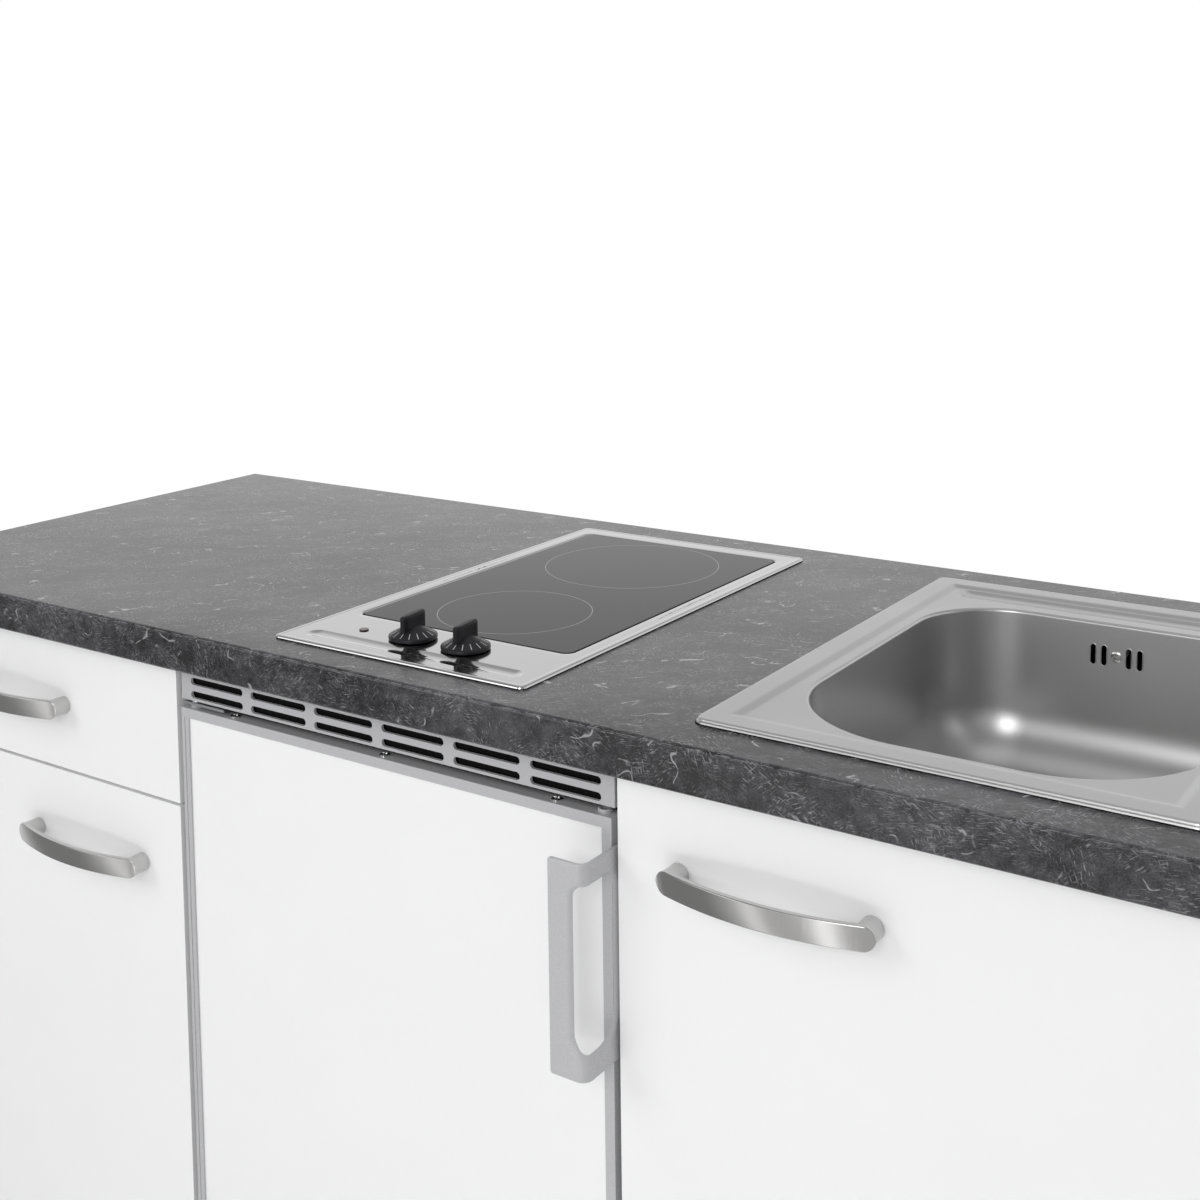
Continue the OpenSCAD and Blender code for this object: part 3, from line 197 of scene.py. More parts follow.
def cleaned(mesh, outwards=True):
    """Merges doubles, drops faces that collapsed and turns the faces outwards."""
    bm = bmesh.new()
    bm.from_mesh(mesh)
    bmesh.ops.remove_doubles(bm, verts=bm.verts, dist=2e-6)
    bmesh.ops.dissolve_degenerate(bm, dist=1e-6, edges=bm.edges)
    if outwards:
        bmesh.ops.recalc_face_normals(bm, faces=bm.faces)
    bm.to_mesh(mesh)
    bm.free()
    return mesh


def new_mesh(name, shape, origin=CORNER):
    """Mesh of (points, faces) that are measured from origin."""
    mesh = bpy.data.meshes.new(name)
    mesh.from_pydata((shape[0] + origin).tolist(), [], shape[1].tolist())
    return mesh


def linked(name, mesh):
    """New object of a mesh, in the scene."""
    obj = bpy.data.objects.new(name, mesh)
    bpy.context.scene.collection.objects.link(obj)
    return obj


def thicken(obj, thickness):
    """Gives a sheet its thickness, behind its face."""
    solid = obj.modifiers.new("Sheet", "SOLIDIFY")
    solid.thickness, solid.offset = thickness, -1


def piece(name, shape, node, outwards=True, angle=35, stands_for=True):
    """Object from (points, faces) measured from the worktop's corner. It rides with the
    CAD node, takes the finish of its slot, or the one set for the node, and, unless told otherwise,
    stands for it."""
    mesh = cleaned(new_mesh(name, shape), outwards)
    smooth(mesh, angle)
    return placed(name, mesh, node, stands_for)


def placed(name, mesh, node, stands_for=True):
    """Object that rides with the node's body and has the slot's finish."""
    obj = linked(name, mesh)
    mesh.materials.clear()
    mesh.materials.append(finish(NODE_FINISH.get(node, SLOT_OF[node])))
    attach(obj, BODY_OF[node])
    if stands_for:
        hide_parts(node)
    return obj


def refinished(obj, slot, name=None):
    """Gives a piece the finish of another slot, or the named finish."""
    obj.data.materials.clear()
    obj.data.materials.append(finish(name or slot))
    return obj


def copy_of(node, join):
    """A CAD node's mesh as a new one: doubles merged and, with join, flat faces joined.
    A frame stays in triangles, because a joined face can't go round a hole."""
    source = frame["nodes"][node].data
    points = np.zeros(len(source.vertices) * 3)
    source.vertices.foreach_get("co", points)
    corners = np.zeros(len(source.loops), int)
    source.loops.foreach_get("vertex_index", corners)
    mesh = new_mesh(node + "_finished", (points.reshape(-1, 3), corners.reshape(-1, 3)), 0)
    bm = bmesh.new()
    bm.from_mesh(mesh)
    bmesh.ops.remove_doubles(bm, verts=bm.verts, dist=1e-5)
    if join:
        bmesh.ops.dissolve_limit(
            bm, angle_limit=math.radians(0.3), verts=bm.verts, edges=bm.edges)
    bm.to_mesh(mesh)
    bm.free()
    return mesh


def softened(node, width, segments=3, angle=32, join=True):
    """A copy of a CAD node whose sharp edges are rounded, standing for the node."""
    mesh = copy_of(node, join)
    smooth(mesh, angle)
    obj = placed(mesh.name, mesh, node)
    if width:
        bevel = obj.modifiers.new("Rounded edges", "BEVEL")
        bevel.width, bevel.segments = width, segments
        bevel.limit_method, bevel.angle_limit = "ANGLE", math.radians(angle)
        bevel.harden_normals = True
        bevel.miter_outer = "MITER_ARC"


# ---- finishes


class Finish:
    """A material with its nodes; every pattern is on Object coordinates, in metres."""

    def __init__(self, **values):
        self.material = bpy.data.materials.new("finish")
        self.material.use_nodes = True
        self.tree = self.material.node_tree
        self.shader = self.tree.nodes["Principled BSDF"]
        self.place = self.tree.nodes.new("ShaderNodeTexCoord").outputs["Object"]
        for socket, value in values.items():
            self.shader.inputs[socket.replace("_", " ")].default_value = value

    def node(self, kind, links, **settings):
        """A new node with its settings; links maps an input to a value or an output."""
        node = self.tree.nodes.new("ShaderNode" + kind)
        for name, value in settings.items():
            setattr(node, name, value)
        for socket, value in links.items():
            if isinstance(value, bpy.types.NodeSocket):
                self.tree.links.new(value, node.inputs[socket])
            else:
                node.inputs[socket].default_value = value
        return node

    def stretched(self, scale, turn=0.0, source=None):
        """Coordinates turned about z and then scaled per axis, for grain that runs one way."""
        links = {"Vector": source or self.place, "Angle": math.radians(turn)}
        links = {"Vector": self.node("VectorRotate", links, rotation_type="Z_AXIS").outputs[0],
                 "Scale": scale}
        return self.node("Mapping", links).outputs["Vector"]

    def noise(self, scale, detail=3, roughness=0.5, source=None, colour=False):
        links = {"Vector": source or self.place, "Scale": scale, "Detail": detail,
                 "Roughness": roughness}
        return self.node("TexNoise", links).outputs["Color" if colour else "Fac"]

    def calc(self, operation, a, b=0.0, clamp=False):
        return self.node("Math", {0: a, 1: b}, operation=operation, use_clamp=clamp).outputs[0]

    def fit(self, value, from_low, from_high, to_low=0.0, to_high=1.0):
        """Value carried from one range into another, with smooth ends."""
        links = {"Value": value, "From Min": from_low, "From Max": from_high,
                 "To Min": to_low, "To Max": to_high}
        return self.node("MapRange", links, interpolation_type="SMOOTHSTEP").outputs["Result"]

    def blend(self, share, first, second):
        """Colour between two, by share."""
        node = self.node("Mix", {"Factor": share}, data_type="RGBA")
        for socket, value in ((node.inputs[6], first), (node.inputs[7], second)):
            if isinstance(value, bpy.types.NodeSocket):
                self.tree.links.new(value, socket)
            else:
                socket.default_value = (*value, 1.0)
        return node.outputs[2]

    def distance(self, vector):
        return self.node("VectorMath", {0: vector}, operation="LENGTH").outputs["Value"]

    def drive(self, socket, output):
        self.tree.links.new(output, self.shader.inputs[socket])

    def emission(self, strength):
        links = {"Color": (1, 1, 1, 1), "Strength": strength}
        return self.node("Emission", links).outputs[0]

    def surface(self, output):
        """Puts another shader in the place of the first."""
        self.tree.links.new(output, self.tree.nodes["Material Output"].inputs["Surface"])

    def bump(self, height, distance):
        links = {"Height": height, "Distance": distance, "Strength": 1.0}
        self.drive("Normal", self.node("Bump", links).outputs["Normal"])


def shade(base, share):
    """A colour made lighter (share above 1) or darker."""
    return tuple(min(1.0, c * share) for c in base)


def moulded(base, roughness, grain=900, **values):
    """Paint, melamine or moulded plastic: faint clouds and a fine even grain."""
    f = Finish(**values)
    clouds = f.noise(9, 3)
    f.drive("Base Color", f.blend(clouds, shade(base, 0.985), shade(base, 1.012)))
    fine = f.noise(grain, 2)
    f.drive("Roughness", f.fit(fine, 0.3, 0.7, roughness - 0.04, roughness + 0.05))
    f.bump(fine, 0.01 * MM)
    return f.material


def brushed(base, roughness, along, fineness, spread=0.04, contrast=0.05):
    """Sheet metal with fine lines along one axis: noise drawn out along it."""
    f = Finish(Metallic=1.0)
    scale = [fineness] * 3
    scale[along] = fineness / 60
    lines = f.noise(1.0, 2, 0.6, f.stretched(scale))
    clouds = f.noise(9, 3)
    tint = f.calc("ADD", f.calc("MULTIPLY", lines, 0.6), f.calc("MULTIPLY", clouds, 0.4))
    f.drive("Base Color", f.blend(tint, shade(base, 1 - contrast), shade(base, 1 + contrast)))
    uneven = f.calc("ADD", f.fit(clouds, 0.3, 0.7, -0.02, 0.02), f.fit(lines, 0.3, 0.7, 0, spread))
    f.drive("Roughness", f.calc("ADD", uneven, roughness))
    return f.material


def slate_laminate():
    """Slate pattern: dark clouds and mottling under fine pale strokes. The sheet is folded
    over the front edge, so the pattern lies on coordinates that run on round the fold:
    x - y / 2 along and y + z across. A stroke is the high part of a drawn-out noise, kept
    where a patch allows; a hair is the thin band where a slow noise crosses its middle."""
    c = colours()
    f = Finish(Specular_IOR_Level=0.5)
    axes = f.node("SeparateXYZ", {"Vector": f.place}).outputs
    along = f.calc("SUBTRACT", axes["X"], f.calc("MULTIPLY", axes["Y"], 0.5))
    across = f.calc("ADD", axes["Y"], axes["Z"])
    sheet = f.node("CombineXYZ", {"X": along, "Y": across}).outputs[0]
    clouds = f.noise(5.5, 3, 0.55, sheet)
    mottle = f.noise(75, 6, 0.72, sheet)
    grain = f.noise(700, 3, 0.70, sheet)
    tone = f.calc("ADD", f.fit(clouds, 0.3, 0.7, -0.28, 0.34), f.fit(mottle, 0.32, 0.70, 0.0, 0.80))
    tone = f.calc("ADD", tone, f.fit(grain, 0.32, 0.68, -0.34, 0.36), clamp=True)
    ground = f.blend(tone, shade(c.slate, 0.30), shade(c.slate, 1.7))
    bend = f.noise(14, 2, 0.5, sheet, colour=True)
    shift = f.node("VectorMath", {0: bend, 1: (0.020, 0.020, 0.0)}, operation="MULTIPLY")
    curved = f.node("VectorMath", {0: sheet, 1: shift.outputs[0]}, operation="ADD").outputs[0]
    hair = f.calc("ABSOLUTE", f.calc("SUBTRACT", f.noise(30, 2, 0.4, curved), 0.5))
    gaps = f.fit(f.noise(40, 3, 0.6, sheet), 0.54, 0.62)
    strokes = f.calc("MULTIPLY", f.fit(hair, 0.002, 0.014, 1.0, 0.0), gaps)
    for turn, fineness, stretch, patch_scale, patch_low, level in (
        (31, 850, 7, 21, 0.48, 0.70),
        (-38, 950, 6, 26, 0.48, 0.70),
        (72, 900, 6, 24, 0.50, 0.70),
        (-6, 1150, 8, 18, 0.44, 0.65),
    ):
        drawn = f.stretched((fineness / stretch, fineness, 1), turn, curved)
        line = f.fit(f.noise(1.0, 1, 0.5, drawn), 0.57, 0.72, 0.0, level)
        patch = f.noise(patch_scale, 3, 0.6, f.stretched((1, 1, 1), turn * 2, sheet))
        patch = f.fit(patch, patch_low, patch_low + 0.16)
        strokes = f.calc("MAXIMUM", strokes, f.calc("MULTIPLY", line, patch))
    # Painted highlight: a pale thin line, broken by the mottling, along the middle of the rounded
    # front arris, where the folded sheet catches the light.
    fold_line = CORNER[1] + WORKTOP_HIGH[2] - 0.6 * MM
    fold = f.fit(f.calc("ABSOLUTE", f.calc("SUBTRACT", across, fold_line)),
                 0.15 * MM, 0.7 * MM, 0.55, 0.0)
    painted_arris_highlight = f.calc("MULTIPLY", fold, f.fit(mottle, 0.40, 0.55))
    # From here the strokes also carry the painted highlight along the arris.
    strokes = f.calc("MAXIMUM", strokes, painted_arris_highlight)
    f.drive("Base Color", f.blend(strokes, ground, tuple(c.scratch_and_highlight)))
    f.drive("Roughness", f.fit(mottle, 0.3, 0.7, 0.21, 0.29))
    relief = f.calc("ADD", f.calc("MULTIPLY", mottle, 0.6), f.calc("MULTIPLY", strokes, 0.4))
    f.bump(relief, 0.02 * MM)
    return f.material


def hob_glass():
    """Dark glass with one thin printed ring for each heater, by distance from its middle."""
    c = colours()
    f = Finish(Roughness=0.05, IOR=1.45, Specular_IOR_Level=0.17)
    rings = None
    for middle, radius in zone_places():
        local = f.node("Mapping", {
            "Vector": f.place, "Location": tuple(-(middle + CORNER)), "Scale": (1, 1, 0)})
        off = f.calc("ABSOLUTE", f.calc("SUBTRACT", f.distance(local.outputs[0]), radius))
        ring = f.fit(off, 0.22 * MM, 0.62 * MM, 1.0, 0.0)
        rings = ring if rings is None else f.calc("MAXIMUM", rings, ring)
    speckle = f.noise(1400, 2)
    ground = f.blend(speckle, shade(c.glass, 0.8), shade(c.glass, 1.3))
    f.drive("Base Color", f.blend(rings, ground, (0.24, 0.24, 0.24)))
    f.bump(f.noise(9, 2), 0.03 * MM)
    return f.material


def clear_glass():
    """Pale green shelf glass, thin enough to let most light through."""
    f = Finish(Alpha=0.15, IOR=1.5)
    tint = f.noise(4, 2)
    f.drive("Base Color", f.blend(tint, (0.62, 0.74, 0.70), (0.70, 0.80, 0.77)))
    f.drive("Roughness", f.fit(f.noise(500, 2), 0.3, 0.7, 0.02, 0.05))
    return f.material


def red_lens():
    f = Finish(Roughness=0.10, IOR=1.5)
    ribs = f.noise(500, 2)
    f.drive("Base Color", f.blend(ribs, (0.045, 0.031, 0.027), (0.11, 0.080, 0.070)))
    f.bump(ribs, 0.02 * MM)
    return f.material


def finish(slot):
    """The material of a record slot, made the first time it is asked for."""
    name = "finish_" + slot
    if name not in bpy.data.materials:
        material = FINISHES[slot]()
        material.name = name
    return bpy.data.materials[name]


X_AXIS, Z_AXIS = 0, 2
NODE_FINISH = {"hob_frame": "hob_sheet", "thermostat_knob": "grey_seal"}
FINISHES = {
    "worktop_laminate": slate_laminate,
    "white_board": lambda: moulded(colours().board, 0.45, 700),
    "white_front": lambda: moulded(colours().front, 0.38, 500),
    "white_steel": lambda: moulded((0.80, 0.80, 0.79), 0.30, 1200),
    "zinc_steel": lambda: brushed(colours().zinc, 0.30, Z_AXIS, 900),
    "black_steel": lambda: moulded((0.022, 0.022, 0.022), 0.35, 1200),
    "satin_steel": lambda: brushed(colours().steel, 0.34, X_AXIS, 1500, 0.015, 0.02),
    "hob_sheet": lambda: brushed(colours().steel, 0.08, X_AXIS, 1500, 0.02, 0.03),
    "polished_steel": lambda: brushed((0.72, 0.72, 0.71), 0.10, X_AXIS, 1200, 0.03),
    "brushed_handle": lambda: brushed(colours().bow, 0.17, Z_AXIS, 2600, 0.05, 0.07),
    "grey_aluminium": lambda: moulded(shade(colours().grey, 1.06), 0.27, 1600),
    "grey_plastic": lambda: moulded(colours().grey, 0.42, 1600),
    "grey_seal": lambda: moulded((0.52, 0.52, 0.52), 0.60, 900),
    "black_plastic": lambda: moulded((0.028, 0.028, 0.028), 0.50, 900),
    # Near-black for painted shade: sheets put where there is only shade, and the shadow lines of
    # the seals.
    "painted_shade": lambda: moulded((0.004, 0.004, 0.004), 0.70, 900, Specular_IOR_Level=0.08),
    "black_knob": lambda: moulded(colours().knob, 0.38, 1500, Specular_IOR_Level=0.28),
    "fridge_white": lambda: moulded((0.84, 0.84, 0.83), 0.35, 600),
    "liner_plastic": lambda: moulded((0.85, 0.85, 0.84), 0.28, 500),
    "pipe_white": lambda: moulded((0.78, 0.78, 0.76), 0.40, 900),
    "heater_grey": lambda: moulded((0.19, 0.18, 0.17), 0.70, 900),
    "red_lens": red_lens,
    "clear_glass": clear_glass,
    "grey_glass": hob_glass,
}


# ---- outlines


def corners_of(low, high, front_r, back_r, steps):
    """Points along the four rounded corners of a rectangle. A radius is one number or a
    pair, left and right."""
    arcs = []
    for turn, (right, back) in enumerate(((1, 1), (0, 1), (0, 0), (1, 0))):
        r = np.broadcast_to(back_r if back else front_r, 2)[right]
        x, y = high[0] - r if right else low[0] + r, high[1] - r if back else low[1] + r
        a = np.linspace(0, math.pi / 2, steps) + turn * math.pi / 2
        arcs.append(np.stack([x + r * np.cos(a), y + r * np.sin(a)], -1))
    return np.concatenate(arcs)


def reach(angles, centre, *outline):
    """Distance from centre along each angle to a rectangle with rounded corners: the
    outline's points, laid out densely, are read off by their angle."""
    corners = corners_of(*outline, 40)
    following = np.roll(corners, -1, axis=0)
    share = np.linspace(0, 1, 200, endpoint=False)[None, :, None]
    dense = (corners[:, None] * (1 - share) + following[:, None] * share).reshape(-1, 2)
    off = dense - np.asarray(centre)
    return np.interp(angles, np.arctan2(off[:, 1], off[:, 0]), np.hypot(*off.T), period=FULL_TURN)


def rays(centre, outlines, marks=(), step=2.5, corner_steps=10):
    """Angles shared by all rings round centre: several in each outline's corners, the
    given marks, and the gaps between them filled evenly."""
    angles = [[math.atan2(y - centre[1], x - centre[0])] for x, y in marks]
    for outline in outlines:
        off = corners_of(*outline, corner_steps) - np.asarray(centre)
        angles.append(np.arctan2(off[:, 1], off[:, 0]))
    found = np.sort(np.concatenate(angles) % FULL_TURN)
    found = found[np.diff(found, prepend=found[-1] - FULL_TURN) > math.radians(0.04)]
    gaps = np.diff(found, append=found[0] + FULL_TURN)
    parts = [a + gap * np.arange(n) / n for a, gap, n in
             zip(found, gaps, np.ceil(gaps / math.radians(step)).astype(int))]
    return np.concatenate(parts)


def rings_of(angles, centre, outline, base, steps):
    """Rings of an outline, for pairs of inset and height above base in millimetres."""
    return [(reach(angles, centre, *outline(inset * MM)), base + rise * MM)
            for inset, rise in steps]


def lines_across(angles, centre, lines, inner, outer, gap, height):
    """Rings that run straight along x at the given y where they can. Between the outer
    and the inner ring they are kept in order, gap apart, everywhere else."""
    towards = np.sin(angles) * np.sign(lines[0] - centre[1])
    steep = np.maximum(towards, 1e-6)
    rings = []
    for k, y in enumerate(lines):
        r = np.where(towards > 0.02, abs(y - centre[1]) / steep, 1.0)
        r = np.clip(r, inner + (len(lines) - k) * gap, outer - (k + 1) * gap)
        rings.append((r, height))
    return rings


def inset_outline(low, high, corner):
    """Outline of a box seen from above, as a function of its inset."""
    return lambda inset: (low[:2] + inset, high[:2] - inset, corner, corner)


def rings_grid(centre, angles, stations):
    """Points of the rings round centre, each given as (distances, height)."""
    r = np.stack([distance + 0 * angles for distance, _ in stations])
    z = np.array([height for _, height in stations])[:, None]
    return grid_of(centre[0] + r * np.cos(angles), centre[1] + r * np.sin(angles), z)


def smooth_step(value, low, high):
    t = np.clip((value - low) / (high - low), 0, 1)
    return t * t * (3 - 2 * t)


def window(value, low, high, edge):
    """1 between low and high, 0 outside, with smooth edges of the given width."""
    return smooth_step(np.minimum(value - low, high - value), 0, edge)


# ---- sink


WALL_TAPER = 4 * MM


def sink_levels():
    """Heights of the deck and of the bowl's floor."""
    low, high = span("sink")
    return high[2] - 2 * MM, low[2] + 1 * MM


def sink_shape():
    """Pressed sheet: rim, step, deck with a channel behind, lip, tapered walls, fillet and
    floor, as rings round the bowl's middle. Rim rings keep to the outer rectangle, bowl
    rings to the bowl's own rounded outline, and rings between them to the channel's lines."""
    s = sizes()
    low, high = span("sink")
    centre = np.mean(span("drain_strainer"), 0)[:2]
    deck, floor = sink_levels()
    half = np.array([159, 197.5]) * MM
    bowl_front_r, bowl_back_r = 110 * MM, 78 * MM
    outer_r, ledge, taper, fillet, wall = 10 * MM, 28 * MM, WALL_TAPER, s.bowl_fillet, 1 * MM
    hole_r = 30 * MM

    def rim(inset, r=None):
        corner = max(outer_r - inset, 2 * MM) if r is None else r
        return low[:2] + inset, high[:2] - inset, corner, corner

    def bowl(inset):
        front_r, back_r = bowl_front_r - inset, bowl_back_r - inset
        return centre - half + inset, centre + half - inset, front_r, back_r

    channel = np.array([493, 519]) * MM
    ends = np.array([1093, 1356]) * MM
    marks = [(x, channel.mean()) for end in ends for x in end + np.linspace(-6, 6, 13) * MM]
    angles = rays(centre, [rim(0), rim(ledge), bowl(0)], marks, 1.2, 16)
    edge = reach(angles, centre, *rim(30.6 * MM, 8 * MM))
    lip = reach(angles, centre, *bowl(-2.6 * MM))
    stations = rings_of(angles, centre, rim, WORKTOP_HIGH[2], (
        (0.6, 0.72), (0, 0.8), (0.04, 0.95), (0.38, 1.85), (0.44, 2.0), (0.62, 2.2),
        (1.2, 2.62), (1.34, 2.78), (1.40, 2.92), (1.78, 3.9), (1.9, 4.08)))
    stations += rings_of(angles, centre, rim, high[2], (
        (2.3, -0.16), (3.1, 0), (4.6, 0), (20, 0), (21.5, 0), (23.5, -0.3), (25.5, -0.85),
        (27.5, -1.45), (29.2, -1.88), (30.6, -2)))
    lines = [channel[1], channel[1] - 1.2 * MM, channel[1] - 3 * MM, channel.mean(),
             channel[0] + 3 * MM, channel[0] + 1.2 * MM, channel[0], channel[0] - 3 * MM]
    first = len(stations) - 1
    stations += lines_across(angles, centre, lines, lip, edge, 0.15 * MM, deck)
    stations.append((lip, deck))
    wall_top, bottom = deck - s.sink_lip, floor + fillet
    walls = [(wall - s.sink_lip * (1 - math.sin(a)), deck - s.sink_lip * (1 - math.cos(a)))
             for a in np.linspace(0, math.pi / 2, 12)]
    walls += [(wall + taper * t, wall_top + (bottom - wall_top) * t)
              for t in np.linspace(0, 1, 14)[1:]]
    walls += [(wall + taper + fillet * (1 - math.cos(a)), bottom - fillet * math.sin(a))
              for a in np.linspace(0, math.pi / 2, 24)[1:]]
    stations += [(reach(angles, centre, *bowl(inset)), z) for inset, z in walls]
    last = stations[-1][0]
    stations += [(last * (1 - t) + hole_r * t, floor) for t in np.linspace(0, 1, 8)[1:]]
    stations.append((hole_r, floor - 3 * MM))
    grid = rings_grid(centre, angles, stations)
    relief = window(grid[..., 1], *channel, 3 * MM) * window(grid[..., 0], *ends, 4 * MM)
    on_deck = slice(first, first + len(lines) + 1)
    grid[on_deck, :, 2] -= s.sink_channel * relief[on_deck]
    return grid


def slot_outline(x, z):
    """Outline of an overflow slot round x and z, its two half circles moved apart, and
    the direction that points outwards from it."""
    angle = np.arange(40) * FULL_TURN / 40
    across, up = np.cos(angle), np.sin(angle)
    side = np.sign(np.sin(angle + 1e-9))
    r = SLOT_W / 2
    return x + across * r, z + up * r + side * (SLOT_H / 2 - r), across, up


OVERFLOW_SLOTS = np.array([-21.4, -11.3, 11.3, 21.4]) * MM
SLOT_W, SLOT_H = 5.5 * MM, 19.5 * MM
TAP_HOLE, TAP_HOLE_R = np.array([1387, 499.5, 862]) * MM, 17.5 * MM


def overflow_middle():
    low, high = span("overflow_screw")
    return (low[0] + high[0]) / 2, low[1], (low[2] + high[2]) / 2


def slot_ring(x, z, y, radius=0.55 * MM):
    """Half-round lip round a slot: a small circle carried along the slot's outline."""
    path_x, path_z, across, up = (part[:, None] for part in slot_outline(x, z))
    a = np.arange(10) * FULL_TURN / 10
    return surface(grid_of(path_x + across * radius * np.cos(a), y(path_z) + radius * np.sin(a),
                           path_z + up * radius * np.cos(a)), True, True)


def prism(outline_a, outline_b):
    """Closed prism between two equal outlines, with a fan at each end."""
    ends = [np.repeat(o.mean(0)[None], len(o), 0) for o in (outline_a, outline_b)]
    return surface(np.stack([ends[0], outline_a, outline_b, ends[1]]), wrap_cols=True)


def cutters(back_y):
    """Overflow slots and the tap hole, as closed prisms."""
    x, _, z = overflow_middle()
    shapes = []
    for dx in OVERFLOW_SLOTS:
        path_x, path_z, across, up = slot_outline(x + dx, z)
        outline = grid_of(path_x, back_y, path_z)
        shapes.append(prism(outline - [0, 8 * MM, 0], outline + [0, 8 * MM, 0]))
    ring = grid_of(across, up, 0.0) * TAP_HOLE_R + TAP_HOLE
    shapes.append(prism(ring - [0, 0, 6 * MM], ring + [0, 0, 6 * MM]))
    return joined(*shapes)


def evaluated(obj):
    """The object's mesh with its modifiers applied."""
    bpy.context.view_layer.update()
    graph = bpy.context.evaluated_depsgraph_get()
    return bpy.data.meshes.new_from_object(obj.evaluated_get(graph))


def overflow_shade_shape():
    """Painted shade in the overflow's chamber: a near-black sheet, a U with round corners
    seen from above, carried upwards."""
    low, high = span("overflow_duct")
    left, right, back = low[0] + 2.4 * MM, high[0] - 2.4 * MM, high[1] - 3.2 * MM
    r, front = 5 * MM, back - 14 * MM
    a = np.linspace(0, math.pi / 2, 9)
    x = np.concatenate([[left], left + r - r * np.cos(a), right - r + r * np.sin(a), [right]])
    y = np.concatenate([[front], back - r + r * np.sin(a), back - r + r * np.cos(a), [front]])
    z = np.linspace(high[2] - 60 * MM, high[2] - 3 * MM, 13)
    return surface(grid_of(x, y, z[:, None]))


def build_sink():
    """Sheet with its holes cut, rings welded into the overflow's slots, a seal under the rim
    whose near-black is painted shade, and a near-black sheet of painted shade in the overflow's
    chamber.
    """
    back_y = 475 * MM
    sheet = linked("sink_sheet", new_mesh("sink_sheet", surface(sink_shape(), wrap_cols=True)))
    thicken(sheet, 0.9 * MM)
    cutter = linked("sink_cutter", cleaned(new_mesh("sink_cutter", cutters(back_y))))
    cut = sheet.modifiers.new("Holes", "BOOLEAN")
    cut.operation, cut.solver, cut.object = "DIFFERENCE", "EXACT", cutter
    pressed = evaluated(sheet)
    for obj in (sheet, cutter):
        bpy.data.objects.remove(obj)
    x, _, z = overflow_middle()
    deck, floor = sink_levels()

    def wall_y(height):
        return back_y - (deck - height) / (deck - floor - sizes().bowl_fillet) * WALL_TAPER

    lips = joined(*(slot_ring(x + dx, z, wall_y) for dx in OVERFLOW_SLOTS))
    bm = bmesh.new()
    bm.from_mesh(pressed)
    bm.from_mesh(cleaned(new_mesh("slot_lips", lips)))
    bm.to_mesh(pressed)
    bm.free()
    smooth(pressed, 40)
    pressed.name = "sink_bowl"
    placed("sink_bowl", pressed, "sink")
    # Seal under the sink's rim; its near-black is painted shade.
    edge_seal("sink_seal_and_shade", "sink", WORKTOP_HIGH[2], UNDER_EDGE)
    # Painted shade: a near-black sheet inside the overflow's chamber, behind its slots.
    thicken(dark("overflow_shade_sheet", overflow_shade_shape(), "overflow_duct"), 0.5 * MM)


# ---- hob


def zone_places():
    """Middle and radius of each heater's ring, rear one last."""
    low, high = span("hob_glass")
    x = (low[0] + high[0]) / 2
    front_r, rear_r = 75 * MM, 93 * MM
    return ((np.array([x, low[1] + 10.5 * MM + front_r, 0]), front_r),
            (np.array([x, high[1] - 5.5 * MM - rear_r, 0]), rear_r))


def hob_frame_shape():
    """Pressed frame: rolled outer edge, flat top with a bead across the front, a step
    round the glass and the ledge that carries it, as rings round the glass's middle."""
    s = sizes()
    low, high = span("hob_frame")
    glass_low, glass_high = span("hob_glass")
    centre = ((glass_low + glass_high) / 2)[:2]
    top, flat, fit = high[2], high[2] - 0.3 * MM, 0.5 * MM

    def rim(inset):
        r = max(6 * MM - inset, 1.5 * MM)
        return low[:2] + inset, high[:2] - inset, r, r

    def opening(offset):
        r = s.glass_corner + max(offset, -2 * MM)
        return glass_low[:2] - fit - offset, glass_high[:2] + fit + offset, r, r

    bead = np.array([54, 74.5]) * MM
    ends = np.array([627, 873]) * MM
    marks = [(x, bead.mean()) for end in ends for x in end + np.linspace(-12, 12, 25) * MM]
    angles = rays(centre, [rim(0), opening(0), opening(7 * MM)], marks, 2.0, 8)
    stations = rings_of(angles, centre, rim, WORKTOP_HIGH[2], ((0.7, 0.75), (0.2, 0.78), (0, 0.9)))
    stations += rings_of(angles, centre, rim, top, (
        (0.3, -1.2), (0.62, -0.62), (1.15, -0.28), (1.9, -0.1), (2.8, 0), (3.6, 0), (4.4, 0),
        (5.2, -0.22), (5.8, -0.3), (6.4, -0.3)))
    edge = stations[-1][0]
    step = reach(angles, centre, *opening(8 * MM))
    lines = [bead[0] - 0.5 * MM, *np.linspace(*bead, 17), bead[1] + 0.5 * MM]
    first = len(stations)
    stations += lines_across(angles, centre, lines, step, edge, 0.3 * MM, flat)
    stations += rings_of(angles, centre, opening, top, (
        (8, -0.3), (2.6, -0.3), (1.7, -0.38), (0.9, -0.6), (0.3, -1), (0, -1.6), (0, -4.6),
        (-0.4, -4.95), (-4.5, -5)))
    grid = rings_grid(centre, angles, stations)
    half = (bead[1] - bead[0]) / 2
    beyond = np.abs(grid[..., 0] - ends.mean()) - (ends[1] - ends[0]) / 2 + half
    from_line = np.hypot(np.maximum(beyond, 0), grid[..., 1] - bead.mean())
    profile = np.cos(math.pi / 2 * np.clip(from_line / half, 0, 1))
    on_top = slice(first, first + len(lines))
    grid[on_top, :, 2] -= s.bead_depth * profile[on_top]
    return surface(grid, wrap_cols=True)


def dark(name, shape, node):
    """A piece in near-black painted shade, that belongs to a node but doesn't stand for it."""
    return refinished(piece(name, shape, node, stands_for=False), "black_plastic", "painted_shade")


